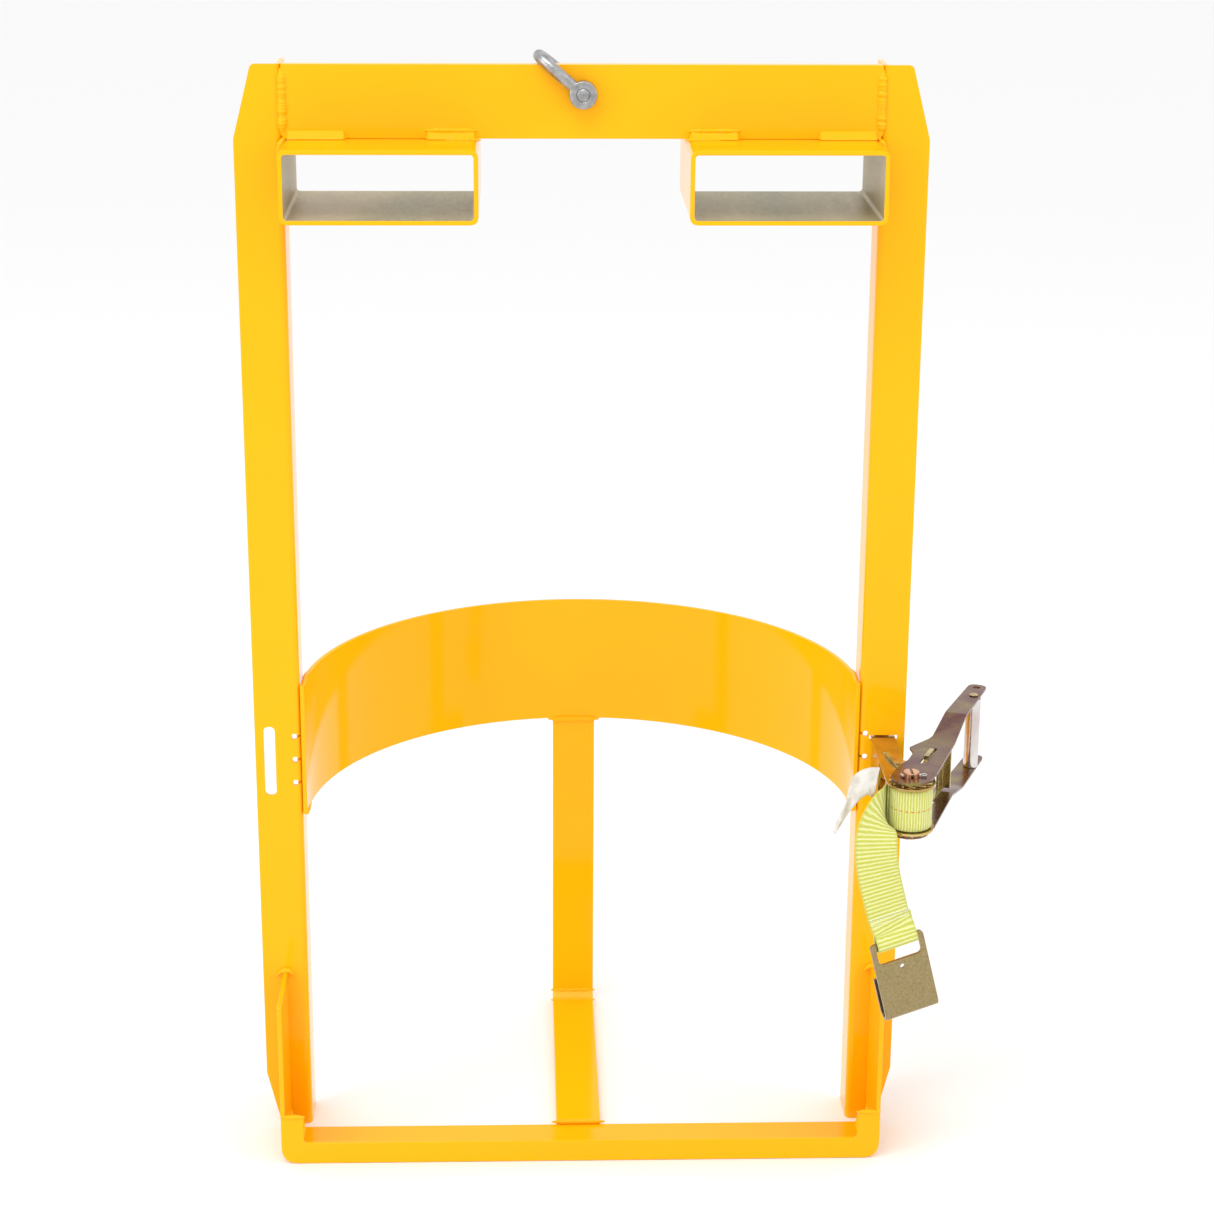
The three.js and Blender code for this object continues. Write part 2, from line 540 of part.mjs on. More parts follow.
// ---------- strap tail ----------
// Stations down the tail: middle, and the direction from the middle to its left edge.
const TAIL = [
  [[324, -133, 451], [0, 0, 1]],
  [[322, -141.5, 450.8], [-0.08, -0.03, 1]],
  [[318.5, -150, 449], [-0.33, -0.08, 0.94]],
  [[315, -158, 443.5], [-0.6, -0.1, 0.79]],
  [[312.5, -164, 434], [-0.8, -0.08, 0.59]],
  [[311.6, -167.5, 421], [-0.93, -0.06, 0.36]],
  [[312.2, -169, 404], [-0.985, -0.06, 0.05]],
  [[316, -169, 381], [-0.98, -0.1, -0.17]],
  [[322.5, -169, 355], [-0.96, -0.15, -0.23]],
  [[328.5, -169, 333], [-0.949, -0.2, -0.24]],
  [[333.9, -169, 320.2], [-0.949, -0.206, -0.238]],
];
function strapTail() {
  const middles = new THREE.CatmullRomCurve3(TAIL.map(([p]) => new THREE.Vector3(...p)));
  const sides = new THREE.CatmullRomCurve3(TAIL.map(([, w]) => new THREE.Vector3(...w)));
  const steps = 40;
  const positions = [];
  const index = [];
  for (let i = 0; i <= steps; i += 1) {
    const t = i / steps;
    const middle = middles.getPoint(t);
    const side = sides.getPoint(t).normalize();
    const face = middles.getTangent(t).cross(side).normalize();
    side.crossVectors(face, middles.getTangent(t)).normalize();
    for (const [a, b] of [[-1, -1], [1, -1], [1, 1], [-1, 1]]) {
      const p = middle.clone().addScaledVector(side, a * STRAP_W / 2).addScaledVector(face, b * STRAP_T / 2);
      positions.push(p.x, p.y, p.z);
    }
  }
  for (let i = 0; i < steps; i += 1) {
    for (let k = 0; k < 4; k += 1) {
      const a = 4 * i + k;
      const b = 4 * i + (k + 1) % 4;
      index.push(a, b, b + 4, a, b + 4, a + 4);
    }
  }
  const last = 4 * steps;
  index.push(0, 2, 1, 0, 3, 2, last, last + 1, last + 2, last, last + 2, last + 3);
  const geometry = new THREE.BufferGeometry();
  geometry.setAttribute('position', new THREE.Float32BufferAttribute(positions, 3));
  geometry.setIndex(index);
  let ribbon = toSolid(geometry);
  if (ribbon.volume() < 0) {
    geometry.setIndex(index.map((v, n) => index[n - (n % 3) + [0, 2, 1][n % 3]]));
    ribbon = toSolid(geometry);
  }
  return ribbon;
}
// The sewn loop round the hook's bar, drawn in its own frame with the bar along X.
const hookGroup = new THREE.Group();
hookGroup.position.set(...LOOP_BAR);
hookGroup.rotation.set(0, -HOOK_TILT, HOOK_YAW);
function strapLoop() {
  const loopR = LOOP_BAR_R + 1;
  const outside = new THREE.Shape();
  outside.absarc(0, 0, loopR + STRAP_T, Math.PI * 0.92, Math.PI * 2.08, false);
  outside.lineTo(STRAP_T, 17);
  outside.lineTo(-STRAP_T, 17);
  outside.closePath();
  const solid = plateYZ(outside, -STRAP_W / 2, STRAP_W / 2, 10);
  const bore = new THREE.CylinderGeometry(loopR, loopR, STRAP_W + 10, 20).rotateZ(Math.PI / 2);
  const cut = solid.subtract(toSolid(bore));
  hookGroup.updateMatrix();
  return cut.transform(Array.from(hookGroup.matrix.elements));
}
add('strap_tail', strapTail().add(strapLoop()), webbing());

// ---------- flat hook ----------
object.add(hookGroup);
const HOOK_W = 61;
const HOOK_T = 4;
const HOOK_BEND_V = -80;
const HOOK_BEND_R = 6.5;
function flatHook() {
  const front = outline([
    [-HOOK_W / 2, 3.8, 5], [HOOK_W / 2, 3.8, 5], [HOOK_W / 2, HOOK_BEND_V], [-HOOK_W / 2, HOOK_BEND_V],
  ]);
  let plate = plateXZ(front, -HOOK_T / 2, HOOK_T / 2);
  const slotHalf = STRAP_W / 2 + 1.6;
  const slot = outline([
    [-slotHalf, -3.4, 2], [slotHalf, -3.4, 2], [slotHalf, -21.5, 6], [-slotHalf, -21.5, 6],
  ]);
  plate = plate.subtract(plateXZ(slot, -20, 20));
  plate = plate.subtract(rodY(0, -30, -20, 20, 2.8, 14));
  const bend = new THREE.Shape();
  const middleY = HOOK_T / 2 + HOOK_BEND_R;
  const tipY = middleY + HOOK_BEND_R;
  bend.absarc(middleY, HOOK_BEND_V, HOOK_BEND_R + HOOK_T, Math.PI, 2 * Math.PI, false);
  bend.lineTo(tipY + HOOK_T, HOOK_BEND_V + 36);
  bend.lineTo(tipY, HOOK_BEND_V + 36);
  bend.absarc(middleY, HOOK_BEND_V, HOOK_BEND_R, 2 * Math.PI, Math.PI, true);
  bend.closePath();
  return plate.add(plateYZ(bend, -HOOK_W / 2, HOOK_W / 2, 10));
}
add('flat_hook', flatHook(), passivate(), hookGroup);

// ---------- strap label ----------
// A thin sewn tag, tucked in beside the roll, with its long tongue hanging down.
const TAG_T = 0.8;
function strapLabel() {
  const bend = new THREE.Shape();
  bend.moveTo(312, -146);
  bend.quadraticCurveTo(300, -150, 288, -144);
  bend.lineTo(288, -144 - TAG_T);
  bend.quadraticCurveTo(300, -150 - TAG_T, 312, -146 - TAG_T);
  bend.closePath();
  const leaf = outline([
    [312, 497, 2], [297, 500, 6], [280, 488, 5], [277, 462, 2], [300, 459, 3], [312, 459, 2],
  ]);
  const sheet = plateXY(bend, 400, 520, 8).intersect(plateXZ(leaf, -180, -120, 5));
  return sheet;
}
add('strap_label', strapLabel(), material(0xd9d4c8, 0.7, 0));

export default object;
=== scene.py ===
import math

import bmesh
import bpy
from mathutils import Matrix, Vector


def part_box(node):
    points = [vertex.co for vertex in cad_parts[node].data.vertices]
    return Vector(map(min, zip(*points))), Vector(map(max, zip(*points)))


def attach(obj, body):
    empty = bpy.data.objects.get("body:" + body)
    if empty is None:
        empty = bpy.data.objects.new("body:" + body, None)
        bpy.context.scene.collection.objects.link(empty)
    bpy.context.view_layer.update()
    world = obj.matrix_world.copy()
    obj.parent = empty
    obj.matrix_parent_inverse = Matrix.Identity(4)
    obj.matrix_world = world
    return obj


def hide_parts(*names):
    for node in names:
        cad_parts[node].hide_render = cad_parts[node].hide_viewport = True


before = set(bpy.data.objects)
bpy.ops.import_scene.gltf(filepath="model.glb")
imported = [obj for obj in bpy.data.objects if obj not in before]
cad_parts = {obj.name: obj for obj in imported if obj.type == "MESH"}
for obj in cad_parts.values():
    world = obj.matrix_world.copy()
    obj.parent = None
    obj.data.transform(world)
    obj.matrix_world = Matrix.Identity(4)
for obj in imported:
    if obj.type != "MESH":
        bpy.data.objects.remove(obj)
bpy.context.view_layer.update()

# ---------- camera ----------
# A standing person's view from a little left of the middle, looking down on the frame.
camera_data = bpy.data.cameras.new("camera")
camera_data.sensor_width = 36
camera_data.lens = 80.66
camera = bpy.data.objects.new("camera", camera_data)
bpy.context.scene.collection.objects.link(camera)
heading = Matrix.Rotation(math.radians(-1.91), 4, "Z")
pitch = Matrix.Rotation(math.radians(71.857), 4, "X")
roll = Matrix.Rotation(math.radians(0.37), 4, "Z")
camera.matrix_world = Matrix.Translation((-0.06635, -2.83406, 1.56064)) @ heading @ pitch @ roll
bpy.context.scene.camera = camera
bpy.context.scene.view_settings.view_transform = "Standard"

# ---------- frame: paint ----------
# Two coats of glossy safety yellow enamel, sprayed on the finished weldment. It lies smooth on
# the plates, with the faint waviness of sprayed paint, and a little dust sits in it.


def put(tree, kind, values=(), **settings):
    """Adds a node; values are its sockets by name or number, as a number or another node's output."""
    item = tree.nodes.new(kind)
    for name, value in settings.items():
        setattr(item, name, value)
    for socket, value in dict(values).items():
        if isinstance(value, bpy.types.NodeSocket):
            tree.links.new(value, item.inputs[socket])
        else:
            item.inputs[socket].default_value = value
    return item


def new_group(name, kind, inputs, outputs):
    """An empty node group with its sockets, and its input and output nodes."""
    tree = bpy.data.node_groups.new(name, kind)
    for direction, sockets in (("INPUT", inputs), ("OUTPUT", outputs)):
        for label, form, value in sockets:
            socket = tree.interface.new_socket(label, in_out=direction, socket_type="NodeSocket" + form)
            if value is not None:
                socket.default_value = value
    return tree, tree.nodes.new("NodeGroupInput"), tree.nodes.new("NodeGroupOutput")


def ramp(tree, factor, stops):
    """A colour ramp through (place, colour) stops."""
    item = put(tree, "ShaderNodeValToRGB", {"Fac": factor})
    elements = item.color_ramp.elements
    while len(elements) < len(stops):
        elements.new(1.0)
    for element, (place, colour) in zip(elements, stops):
        element.position = place
        element.color = (*colour, 1)
    return item.outputs["Color"]


def enamel_group():
    """Sprayed enamel: its colour drifts over hand-widths, it is faintly wavy, and dust dulls it."""
    tree, given, result = new_group(
        "sprayed_enamel", "ShaderNodeTree",
        [("Colour", "Color", (1, 0.5, 0, 1)), ("Thin Colour", "Color", (0.9, 0.4, 0, 1)),
         ("Wave Size", "Float", 0.006), ("Wave Height", "Float", 0.00001), ("Gloss", "Float", 0.1)],
        [("Colour", "Color", None), ("Roughness", "Float", None), ("Normal", "Vector", None)])
    place = put(tree, "ShaderNodeTexCoord").outputs["Object"]
    drift = put(tree, "ShaderNodeTexNoise", {"Vector": place, "Scale": 4.0, "Detail": 2.0})
    mixed = put(tree, "ShaderNodeMix", {0: drift.outputs["Fac"], 6: given.outputs["Colour"],
                                        7: given.outputs["Thin Colour"]}, data_type="RGBA")
    dust = put(tree, "ShaderNodeTexNoise", {"Vector": place, "Scale": 900.0, "Detail": 3.0})
    specks = put(tree, "ShaderNodeMapRange", {"Value": dust.outputs["Fac"], "From Min": 0.66,
                                              "From Max": 0.74, "To Max": 0.25})
    rough = put(tree, "ShaderNodeMath", {0: given.outputs["Gloss"], 1: specks.outputs["Result"]},
                operation="ADD")
    density = put(tree, "ShaderNodeMath", {0: 1.0, 1: given.outputs["Wave Size"]}, operation="DIVIDE")
    wave = put(tree, "ShaderNodeTexNoise", {"Vector": place, "Scale": density.outputs[0],
                                            "Detail": 1.0})
    bump = put(tree, "ShaderNodeBump", {"Height": wave.outputs["Fac"], "Strength": 1.0,
                                        "Distance": given.outputs["Wave Height"]})
    tree.links.new(mixed.outputs[2], result.inputs["Colour"])
    tree.links.new(rough.outputs[0], result.inputs["Roughness"])
    tree.links.new(bump.outputs["Normal"], result.inputs["Normal"])
    return tree


def new_material(name, **sockets):
    """A Principled material with constants on its own sockets; returns it, its tree and shader."""
    made = bpy.data.materials.new(name)
    made.use_nodes = True
    shader = made.node_tree.nodes["Principled BSDF"]
    for label, value in sockets.items():
        shader.inputs[label.replace("_", " ")].default_value = value
    return made, made.node_tree, shader


def wire(tree, group, shader, links):
    """Joins a group's outputs to the shader's sockets."""
    for output, socket in links.items():
        tree.links.new(group.outputs[output], shader.inputs[socket])


sprayed_enamel = enamel_group()
YELLOW = (1.0, 0.485, 0.003, 1)
DEEP_YELLOW = (0.98, 0.435, 0.002, 1)


def enamel(name, wave_size, wave_height, gloss):
    made, tree, shader = new_material(name, Specular_IOR_Level=0.16, Coat_Weight=0.04,
                                      Coat_Roughness=0.03)
    film = put(tree, "ShaderNodeGroup", node_tree=sprayed_enamel)
    film.inputs["Colour"].default_value = YELLOW
    film.inputs["Thin Colour"].default_value = DEEP_YELLOW
    film.inputs["Wave Size"].default_value = wave_size
    film.inputs["Wave Height"].default_value = wave_height
    film.inputs["Gloss"].default_value = gloss
    wire(tree, film, shader, {"Colour": "Base Color", "Roughness": "Roughness", "Normal": "Normal"})
    return made


plate_enamel = enamel("safety_yellow_on_plate", 0.009, 0.00006, 0.10)
weld_enamel = enamel("safety_yellow_on_weld", 0.0025, 0.0004, 0.12)

# ---------- frame: uprights ----------
# Two formed angles of 3/16 in plate, 48 in tall, with clipped corners. The left one has a long
# slot for the strap's hook, and the right one is slotted for the ratchet's ears.


def merged_copy(node, name):
    """A CAD node's shape as one clean mesh, its triangles joined into whole faces."""
    shape = bmesh.new()
    shape.from_mesh(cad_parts[node].data)
    bmesh.ops.remove_doubles(shape, verts=shape.verts, dist=2e-5)
    bmesh.ops.dissolve_limit(shape, angle_limit=math.radians(0.8), verts=shape.verts, edges=shape.edges)
    shape.verts.index_update()
    mesh = bpy.data.meshes.new(name)
    points = [v.co[:] for v in shape.verts]
    mesh.from_pydata(points, [], [[v.index for v in face.verts] for face in shape.faces])
    shape.free()
    return mesh


def link_piece(name, mesh, materials, body):
    """Puts a finished mesh in the scene, riding on its body."""
    piece = bpy.data.objects.new(name, mesh)
    bpy.context.scene.collection.objects.link(piece)
    mesh.materials.clear()
    for finish in materials:
        mesh.materials.append(finish)
    mesh.polygons.foreach_set("use_smooth", [True] * len(mesh.polygons))
    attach(piece, body)
    return piece


def soften_edges(piece, width, segments=2, angle=28):
    """Rounds a piece's edges, and keeps its flats flat to the light."""
    edge = piece.modifiers.new("edge", "BEVEL")
    edge.width = width
    edge.segments = segments
    edge.limit_method = "ANGLE"
    edge.angle_limit = math.radians(angle)
    edge.miter_outer = "MITER_ARC"
    edge.use_clamp_overlap = True
    flats = piece.modifiers.new("flats", "WEIGHTED_NORMAL")
    flats.mode = "FACE_AREA"
    flats.weight = 90


def stands_for(node, name, materials, body, width=0.0007, segments=2):
    """A cleaned, edge-rounded copy of a CAD node that takes its place."""
    piece = link_piece(name, merged_copy(node, name), materials, body)
    soften_edges(piece, width, segments)
    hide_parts(node)
    return piece


for side in ("left", "right"):
    stands_for(side + "_upright", side + "_upright_angle", [plate_enamel], "frame",
               0.0009)

# ---------- frame: top beam, cradle band, post, floor bar ----------
# Flat bar and rolled plate: a 3 in by 1/2 in bar on edge, a 6 in band rolled to the drum's
# radius, and a 2 in bar that runs down the back and forward along the floor. All are welded.
for node, name in (("top_beam", "top_beam_bar"), ("cradle_band", "rolled_cradle_band"),
                   ("back_post", "back_post_bar"), ("floor_bar", "floor_bar_flat"),
                   ("base_angle", "base_angle_formed"), ("left_riser", "left_riser_plate"),
                   ("right_riser", "right_riser_plate")):
    stands_for(node, name, [plate_enamel], "frame", 0.0008)

# ---------- frame: fork pockets ----------
# Two lengths of 8 in by 3 in tube, welded under the beam. Paint doesn't reach inside them, so
# the mill finish shows there, in soft patches of tan and grey along the tube.


def bare_steel():
    made, tree, shader = new_material("bare_tube_steel", Metallic=0.45, Specular_IOR_Level=0.5)
    place = put(tree, "ShaderNodeTexCoord").outputs["Object"]
    stretch = put(tree, "ShaderNodeMapping", {"Vector": place, "Scale": (1.0, 0.25, 1.0)})
    bloom = put(tree, "ShaderNodeTexNoise", {"Vector": stretch.outputs["Vector"], "Scale": 9.0,
                                             "Detail": 3.0, "Roughness": 0.5})
    colour = ramp(tree, bloom.outputs["Fac"], [
        (0.25, (0.34, 0.31, 0.19)), (0.42, (0.44, 0.37, 0.20)), (0.55, (0.54, 0.44, 0.24)),
        (0.70, (0.60, 0.48, 0.29)), (0.85, (0.48, 0.42, 0.28))])
    tree.links.new(colour, shader.inputs["Base Color"])
    grain = put(tree, "ShaderNodeTexNoise", {"Vector": stretch.outputs["Vector"], "Scale": 300.0,
                                             "Detail": 3.0})
    rough = put(tree, "ShaderNodeMapRange", {"Value": grain.outputs["Fac"], "To Min": 0.28,
                                             "To Max": 0.55})
    tree.links.new(rough.outputs["Result"], shader.inputs["Roughness"])
    bump = put(tree, "ShaderNodeBump", {"Height": grain.outputs["Fac"], "Strength": 0.6,
                                        "Distance": 0.00008})
    tree.links.new(bump.outputs["Normal"], shader.inputs["Normal"])
    return made


tube_steel = bare_steel()
TUBE_WALL = 0.0048
for side in ("left", "right"):
    low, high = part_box(side + "_fork_pocket")
    middle = (low + high) / 2
    to_wall_x = (high.x - low.x) / 2 - 0.7 * TUBE_WALL
    to_wall_z = (high.z - low.z) / 2 - 0.7 * TUBE_WALL
    mesh = merged_copy(side + "_fork_pocket", side + "_fork_tube")
    pocket = link_piece(side + "_fork_tube", mesh, [plate_enamel, tube_steel], "frame")
    for face in mesh.polygons:
        inward = (middle - face.center) * Vector((1, 0, 1))
        inside = (abs(face.center.x - middle.x) < to_wall_x
                  and abs(face.center.z - middle.z) < to_wall_z)
        faces_in = abs(face.normal.y) < 0.5 and face.normal.dot(inward) > 0
        face.material_index = 1 if inside and faces_in else 0
    soften_edges(pocket, 0.0007)
    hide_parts(side + "_fork_pocket")

# ---------- frame: welds ----------
# Arc welds, laid by hand in overlapping ripples and painted over with the frame. Each bead
# follows the corner between two plates and tails off at its ends.


def ripple_tree():
    """Overlapping ripples along every line of a mesh, smaller towards the line's ends."""
    tree, given, result = new_group(
        "weld_ripples", "GeometryNodeTree",
        [("Geometry", "Geometry", None), ("Pitch", "Float", 0.003), ("Radius", "Float", 0.005),
         ("Tail", "Float", 0.008), ("Seed", "Int", 1), ("Finish", "Material", None)],
        [("Geometry", "Geometry", None)])
    line = put(tree, "GeometryNodeMeshToCurve", {"Mesh": given.outputs["Geometry"]})
    steps = put(tree, "GeometryNodeResampleCurve", {"Curve": line.outputs["Curve"],
                                                    "Length": given.outputs["Pitch"]}, mode="LENGTH")
    along = put(tree, "GeometryNodeSplineParameter").outputs["Length"]
    whole = put(tree, "GeometryNodeSplineLength").outputs["Length"]
    left = put(tree, "ShaderNodeMath", {0: whole, 1: along}, operation="SUBTRACT")
    nearest = put(tree, "ShaderNodeMath", {0: along, 1: left.outputs[0]}, operation="MINIMUM")
    taper = put(tree, "ShaderNodeMapRange", {"Value": nearest.outputs[0],
                                             "From Max": given.outputs["Tail"],
                                             "To Min": 0.5, "To Max": 1.0})
    uneven = put(tree, "FunctionNodeRandomValue", {2: 0.86, 3: 1.12, "Seed": given.outputs["Seed"]})
    girth = put(tree, "ShaderNodeMath", {0: taper.outputs["Result"], 1: uneven.outputs[1]},
                operation="MULTIPLY")
    radius = put(tree, "ShaderNodeMath", {0: girth.outputs[0], 1: given.outputs["Radius"]},
                 operation="MULTIPLY")
    reach = put(tree, "ShaderNodeMath", {0: given.outputs["Pitch"], 1: 1.5}, operation="MULTIPLY")
    size = put(tree, "ShaderNodeCombineXYZ", {"X": radius.outputs[0], "Y": radius.outputs[0],
                                              "Z": reach.outputs[0]})
    facing = put(tree, "FunctionNodeAlignRotationToVector",
                 {"Vector": put(tree, "GeometryNodeInputTangent").outputs["Tangent"]}, axis="Z")
    ripple = put(tree, "GeometryNodeMeshUVSphere", {"Segments": 16, "Rings": 8, "Radius": 1.0})
    laid = put(tree, "GeometryNodeInstanceOnPoints",
               {"Points": steps.outputs["Curve"], "Instance": ripple.outputs["Mesh"],
                "Rotation": facing.outputs["Rotation"], "Scale": size.outputs["Vector"]})
    real = put(tree, "GeometryNodeRealizeInstances", {"Geometry": laid.outputs["Instances"]})
    smooth = put(tree, "GeometryNodeSetShadeSmooth", {"Geometry": real.outputs["Geometry"]})
    done = put(tree, "GeometryNodeSetMaterial", {"Geometry": smooth.outputs["Geometry"],
                                                 "Material": given.outputs["Finish"]})
    tree.links.new(done.outputs["Geometry"], result.inputs["Geometry"])
    return tree


def lines_mesh(name, lines):
    """A mesh of open lines, each a list of points."""
    points = [point for line in lines for point in line]
    edges = []
    start = 0
    for line in lines:
        edges += [(i, i + 1) for i in range(start, start + len(line) - 1)]
        start += len(line)
    mesh = bpy.data.meshes.new(name)
    mesh.from_pydata(points, edges, [])
    return mesh


def grown_mesh(name, mesh, tree, values):
    """What a Geometry Nodes tree makes of a mesh, as a plain mesh."""
    holder = bpy.data.objects.new(name, mesh)
    bpy.context.scene.collection.objects.link(holder)
    maker = holder.modifiers.new("maker", "NODES")
    maker.node_group = tree
    for item in tree.interface.items_tree:
        if item.in_out == "INPUT" and item.name in values:
            maker[item.identifier] = values[item.name]
    graph = bpy.context.evaluated_depsgraph_get()
    grown = bpy.data.meshes.new_from_object(holder.evaluated_get(graph))
    bpy.data.objects.remove(holder)
    return grown


def fillet_mesh(name, runs):
    """Flat-faced fillets; a run is its ends, its two legs and how far its ends are chamfered back."""
    verts = []
    faces = []
    for start, stop, leg_a, leg_b, chamfer in runs:
        start, stop, leg_a, leg_b = Vector(start), Vector(stop), Vector(leg_a), Vector(leg_b)
        along = (stop - start).normalized()
        first = len(verts)
        verts += [start, start + leg_a + along * chamfer, start + leg_b + along * chamfer,
                  stop, stop + leg_a - along * chamfer, stop + leg_b - along * chamfer]
        turn = leg_a.cross(leg_b).dot(along) > 0
        for face in ((0, 2, 1), (3, 4, 5), (0, 1, 4, 3), (1, 2, 5, 4), (2, 0, 3, 5)):
            corners = [first + k for k in face]
            faces.append(corners if turn else corners[::-1])
    mesh = bpy.data.meshes.new(name)
    mesh.from_pydata([v[:] for v in verts], [], faces)
    return mesh


weld_ripples = ripple_tree()
beam_low, beam_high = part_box("top_beam")
band_low, band_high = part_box("cradle_band")
post_low, post_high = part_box("back_post")
bar_low, bar_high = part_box("floor_bar")
base_low, base_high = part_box("base_angle")
riser_low, riser_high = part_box("right_riser")
pocket_low, pocket_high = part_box("right_fork_pocket")
WEB = beam_high.x + 0.0003
TUBE_TOP = pocket_high.z + 0.0002
STITCHES = ((0.109, 0.1645), (0.2435, 0.309))
STITCH_LEG = 0.009
STITCH_CHAMFER = 0.004
TOE = 0.0085
BEAD_END = 0.008

heavy = []
fillets = []
medium = []
fine = []
for side in (-1, 1):
    end = side * (WEB - 0.0008)
    # the beam's ends against the webs, front and back, and on down beside the pockets
    for depth in (0.0028, beam_high.y - 0.0024):
        heavy.append([(end, depth, beam_low.z + 0.006), (end, depth, beam_high.z - BEAD_END)])
    medium.append([(side * (WEB - 0.002), 0.0, TUBE_TOP),
                   (side * (WEB + 0.001), -0.004, TUBE_TOP - 0.004),
                   (side * (WEB + 0.0035), -0.002, TUBE_TOP - 0.012),
                   (side * (WEB + 0.003), -0.001, pocket_low.z + 0.02)])
    # stitch fillets between the beam and the pockets; the inner ones have beaded toes
    for start, stop in STITCHES:
        for face, out in ((-0.0001, -1), (beam_high.y + 0.0001, 1)):
            fillets.append(((side * start, face, TUBE_TOP), (side * stop, face, TUBE_TOP),
                            (0, out * STITCH_LEG, 0), (0, 0, STITCH_LEG), STITCH_CHAMFER))
            if start == STITCHES[0][0]:
                fine.append([(side * (start + 0.003), face, TUBE_TOP + TOE),
                             (side * (stop - 0.004), face, TUBE_TOP + TOE)])
                fine.append([(side * start, face + out * TOE, TUBE_TOP),
                             (side * (start + 0.03), face + out * TOE, TUBE_TOP)])
    # the risers' tops against the flanges
    riser_x = side * (riser_low.x + riser_high.x) / 2
    medium.append([(riser_x + across, -0.0015, riser_high.z + up) for across, up in (
        (-0.0075, -0.002), (-0.004, 0.0015), (0.004, 0.0015), (0.0075, -0.002))])
    # the band's ends against the webs, above and below
    for height in (band_high.z, band_low.z):
        fine.append([(side * (WEB - 0.0045), depth, height) for depth in (0.004, 0.045)])
    # mitre seams at the base angle's turned-up corners, and where the risers stand on them
    lip = base_low.y
    corner = side * (base_high.x - 0.0235)
    fine.append([(side * (base_high.x - 0.003), lip + 0.0005, 0.0585),
                 (side * (base_high.x - 0.024), lip + 0.0005, 0.0585)])
    fine.append([(corner, lip + 0.0052, 0.0275), (corner - side * 0.002, lip + 0.0055, 0.046)])
    fine.append([(side * (base_high.x - 0.0052), lip + 0.008, 0.0265),
                 (side * (base_high.x - 0.0052), -0.018, 0.0265)])

# back post: across its top under the band, down to the floor bar, and the floor bar's front end
medium.append([(post_low.x - 0.002, post_low.y - 0.0005, band_low.z - 0.001),
               (post_high.x + 0.002, post_low.y - 0.0005, band_low.z - 0.001)])
fillets.append(((post_low.x, post_low.y, bar_high.z), (post_high.x, post_low.y, bar_high.z),
                (0, -TOE, 0), (0, 0, TOE), 0))
for out, up in ((0.0008, TOE), (-TOE, -0.0010)):
    fine.append([(end, post_low.y + out, bar_high.z + up)
                 for end in (post_low.x + 0.001, post_high.x - 0.001)])
fine.append([(bar_low.x - 0.002, bar_low.y, bar_high.z - 0.002),
             (bar_high.x + 0.002, bar_low.y, bar_high.z - 0.002)])

for name, lines, ripple_pitch, bead_radius, seed in (
        ("heavy_welds", heavy, 0.0030, 0.0056, 3), ("medium_welds", medium, 0.0028, 0.0038, 5),
        ("fine_welds", fine, 0.0024, 0.0028, 8)):
    bead = grown_mesh(name, lines_mesh(name + "_path", lines), weld_ripples, {
        "Pitch": ripple_pitch, "Radius": bead_radius, "Seed": seed, "Finish": weld_enamel})
    link_piece(name, bead, [weld_enamel], "frame")
fillet_welds = link_piece("fillet_welds", fillet_mesh("fillet_welds", fillets), [weld_enamel], "frame")
soften_edges(fillet_welds, 0.0012, 3)

# ---------- shackle ----------
# A forged screw-pin anchor shackle, hot-dip galvanised. Its pin runs through the beam's hole,
# and the bow leans over on the beam's top edge.


def galvanised():
    made, tree, shader = new_material("hot_dip_zinc", Metallic=0.85, Specular_IOR_Level=0.5)
    place = put(tree, "ShaderNodeTexCoord").outputs["Object"]
    cloud = put(tree, "ShaderNodeTexNoise", {"Vector": place, "Scale": 120.0, "Detail": 4.0})
    colour = ramp(tree, cloud.outputs["Fac"], [(0.3, (0.25, 0.25, 0.25)), (0.55, (0.38, 0.38, 0.38)),
                                               (0.75, (0.52, 0.52, 0.52))])
    tree.links.new(colour, shader.inputs["Base Color"])
    rough = put(tree, "ShaderNodeMapRange", {"Value": cloud.outputs["Fac"], "To Min": 0.18,
                                             "To Max": 0.42})
    tree.links.new(rough.outputs["Result"], shader.inputs["Roughness"])
    skin = put(tree, "ShaderNodeTexNoise", {"Vector": place, "Scale": 500.0, "Detail": 2.0})
    bump = put(tree, "ShaderNodeBump", {"Height": skin.outputs["Fac"], "Strength": 0.7,
                                        "Distance": 0.0003})
    tree.links.new(bump.outputs["Normal"], shader.inputs["Normal"])
    return made


hot_dip = galvanised()


def forged_copy(node, name, voxel, passes):
    """A CAD node's shape with the blended corners of a forging."""
    mesh = merged_copy(node, name)
    holder = bpy.data.objects.new(name, mesh)
    bpy.context.scene.collection.objects.link(holder)
    remesh = holder.modifiers.new("skin", "REMESH")
    remesh.mode = "VOXEL"
    remesh.voxel_size = voxel
    soften = holder.modifiers.new("soften", "SMOOTH")
    soften.factor = 0.5
    soften.iterations = passes
    swell = holder.modifiers.new("swell", "DISPLACE")
    swell.strength = 0.0004
    swell.mid_level = 0.0
    graph = bpy.context.evaluated_depsgraph_get()
    forged = bpy.data.meshes.new_from_object(holder.evaluated_get(graph))
    bpy.data.objects.remove(holder)
    return forged


for node, name, voxel, passes in (("shackle_bow", "forged_bow", 0.0008, 5),
                                  ("shackle_pin", "screw_pin", 0.0005, 3)):
    piece = link_piece(name, forged_copy(node, name, voxel, passes), [hot_dip], "shackle")
    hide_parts(node)

# ---------- ratchet: plated steel ----------
# Pressed steel, zinc plated and yellow passivated: brown and purple where the film is thick,
# olive and gold where it is thin, over the fine grain of the rolled sheet.


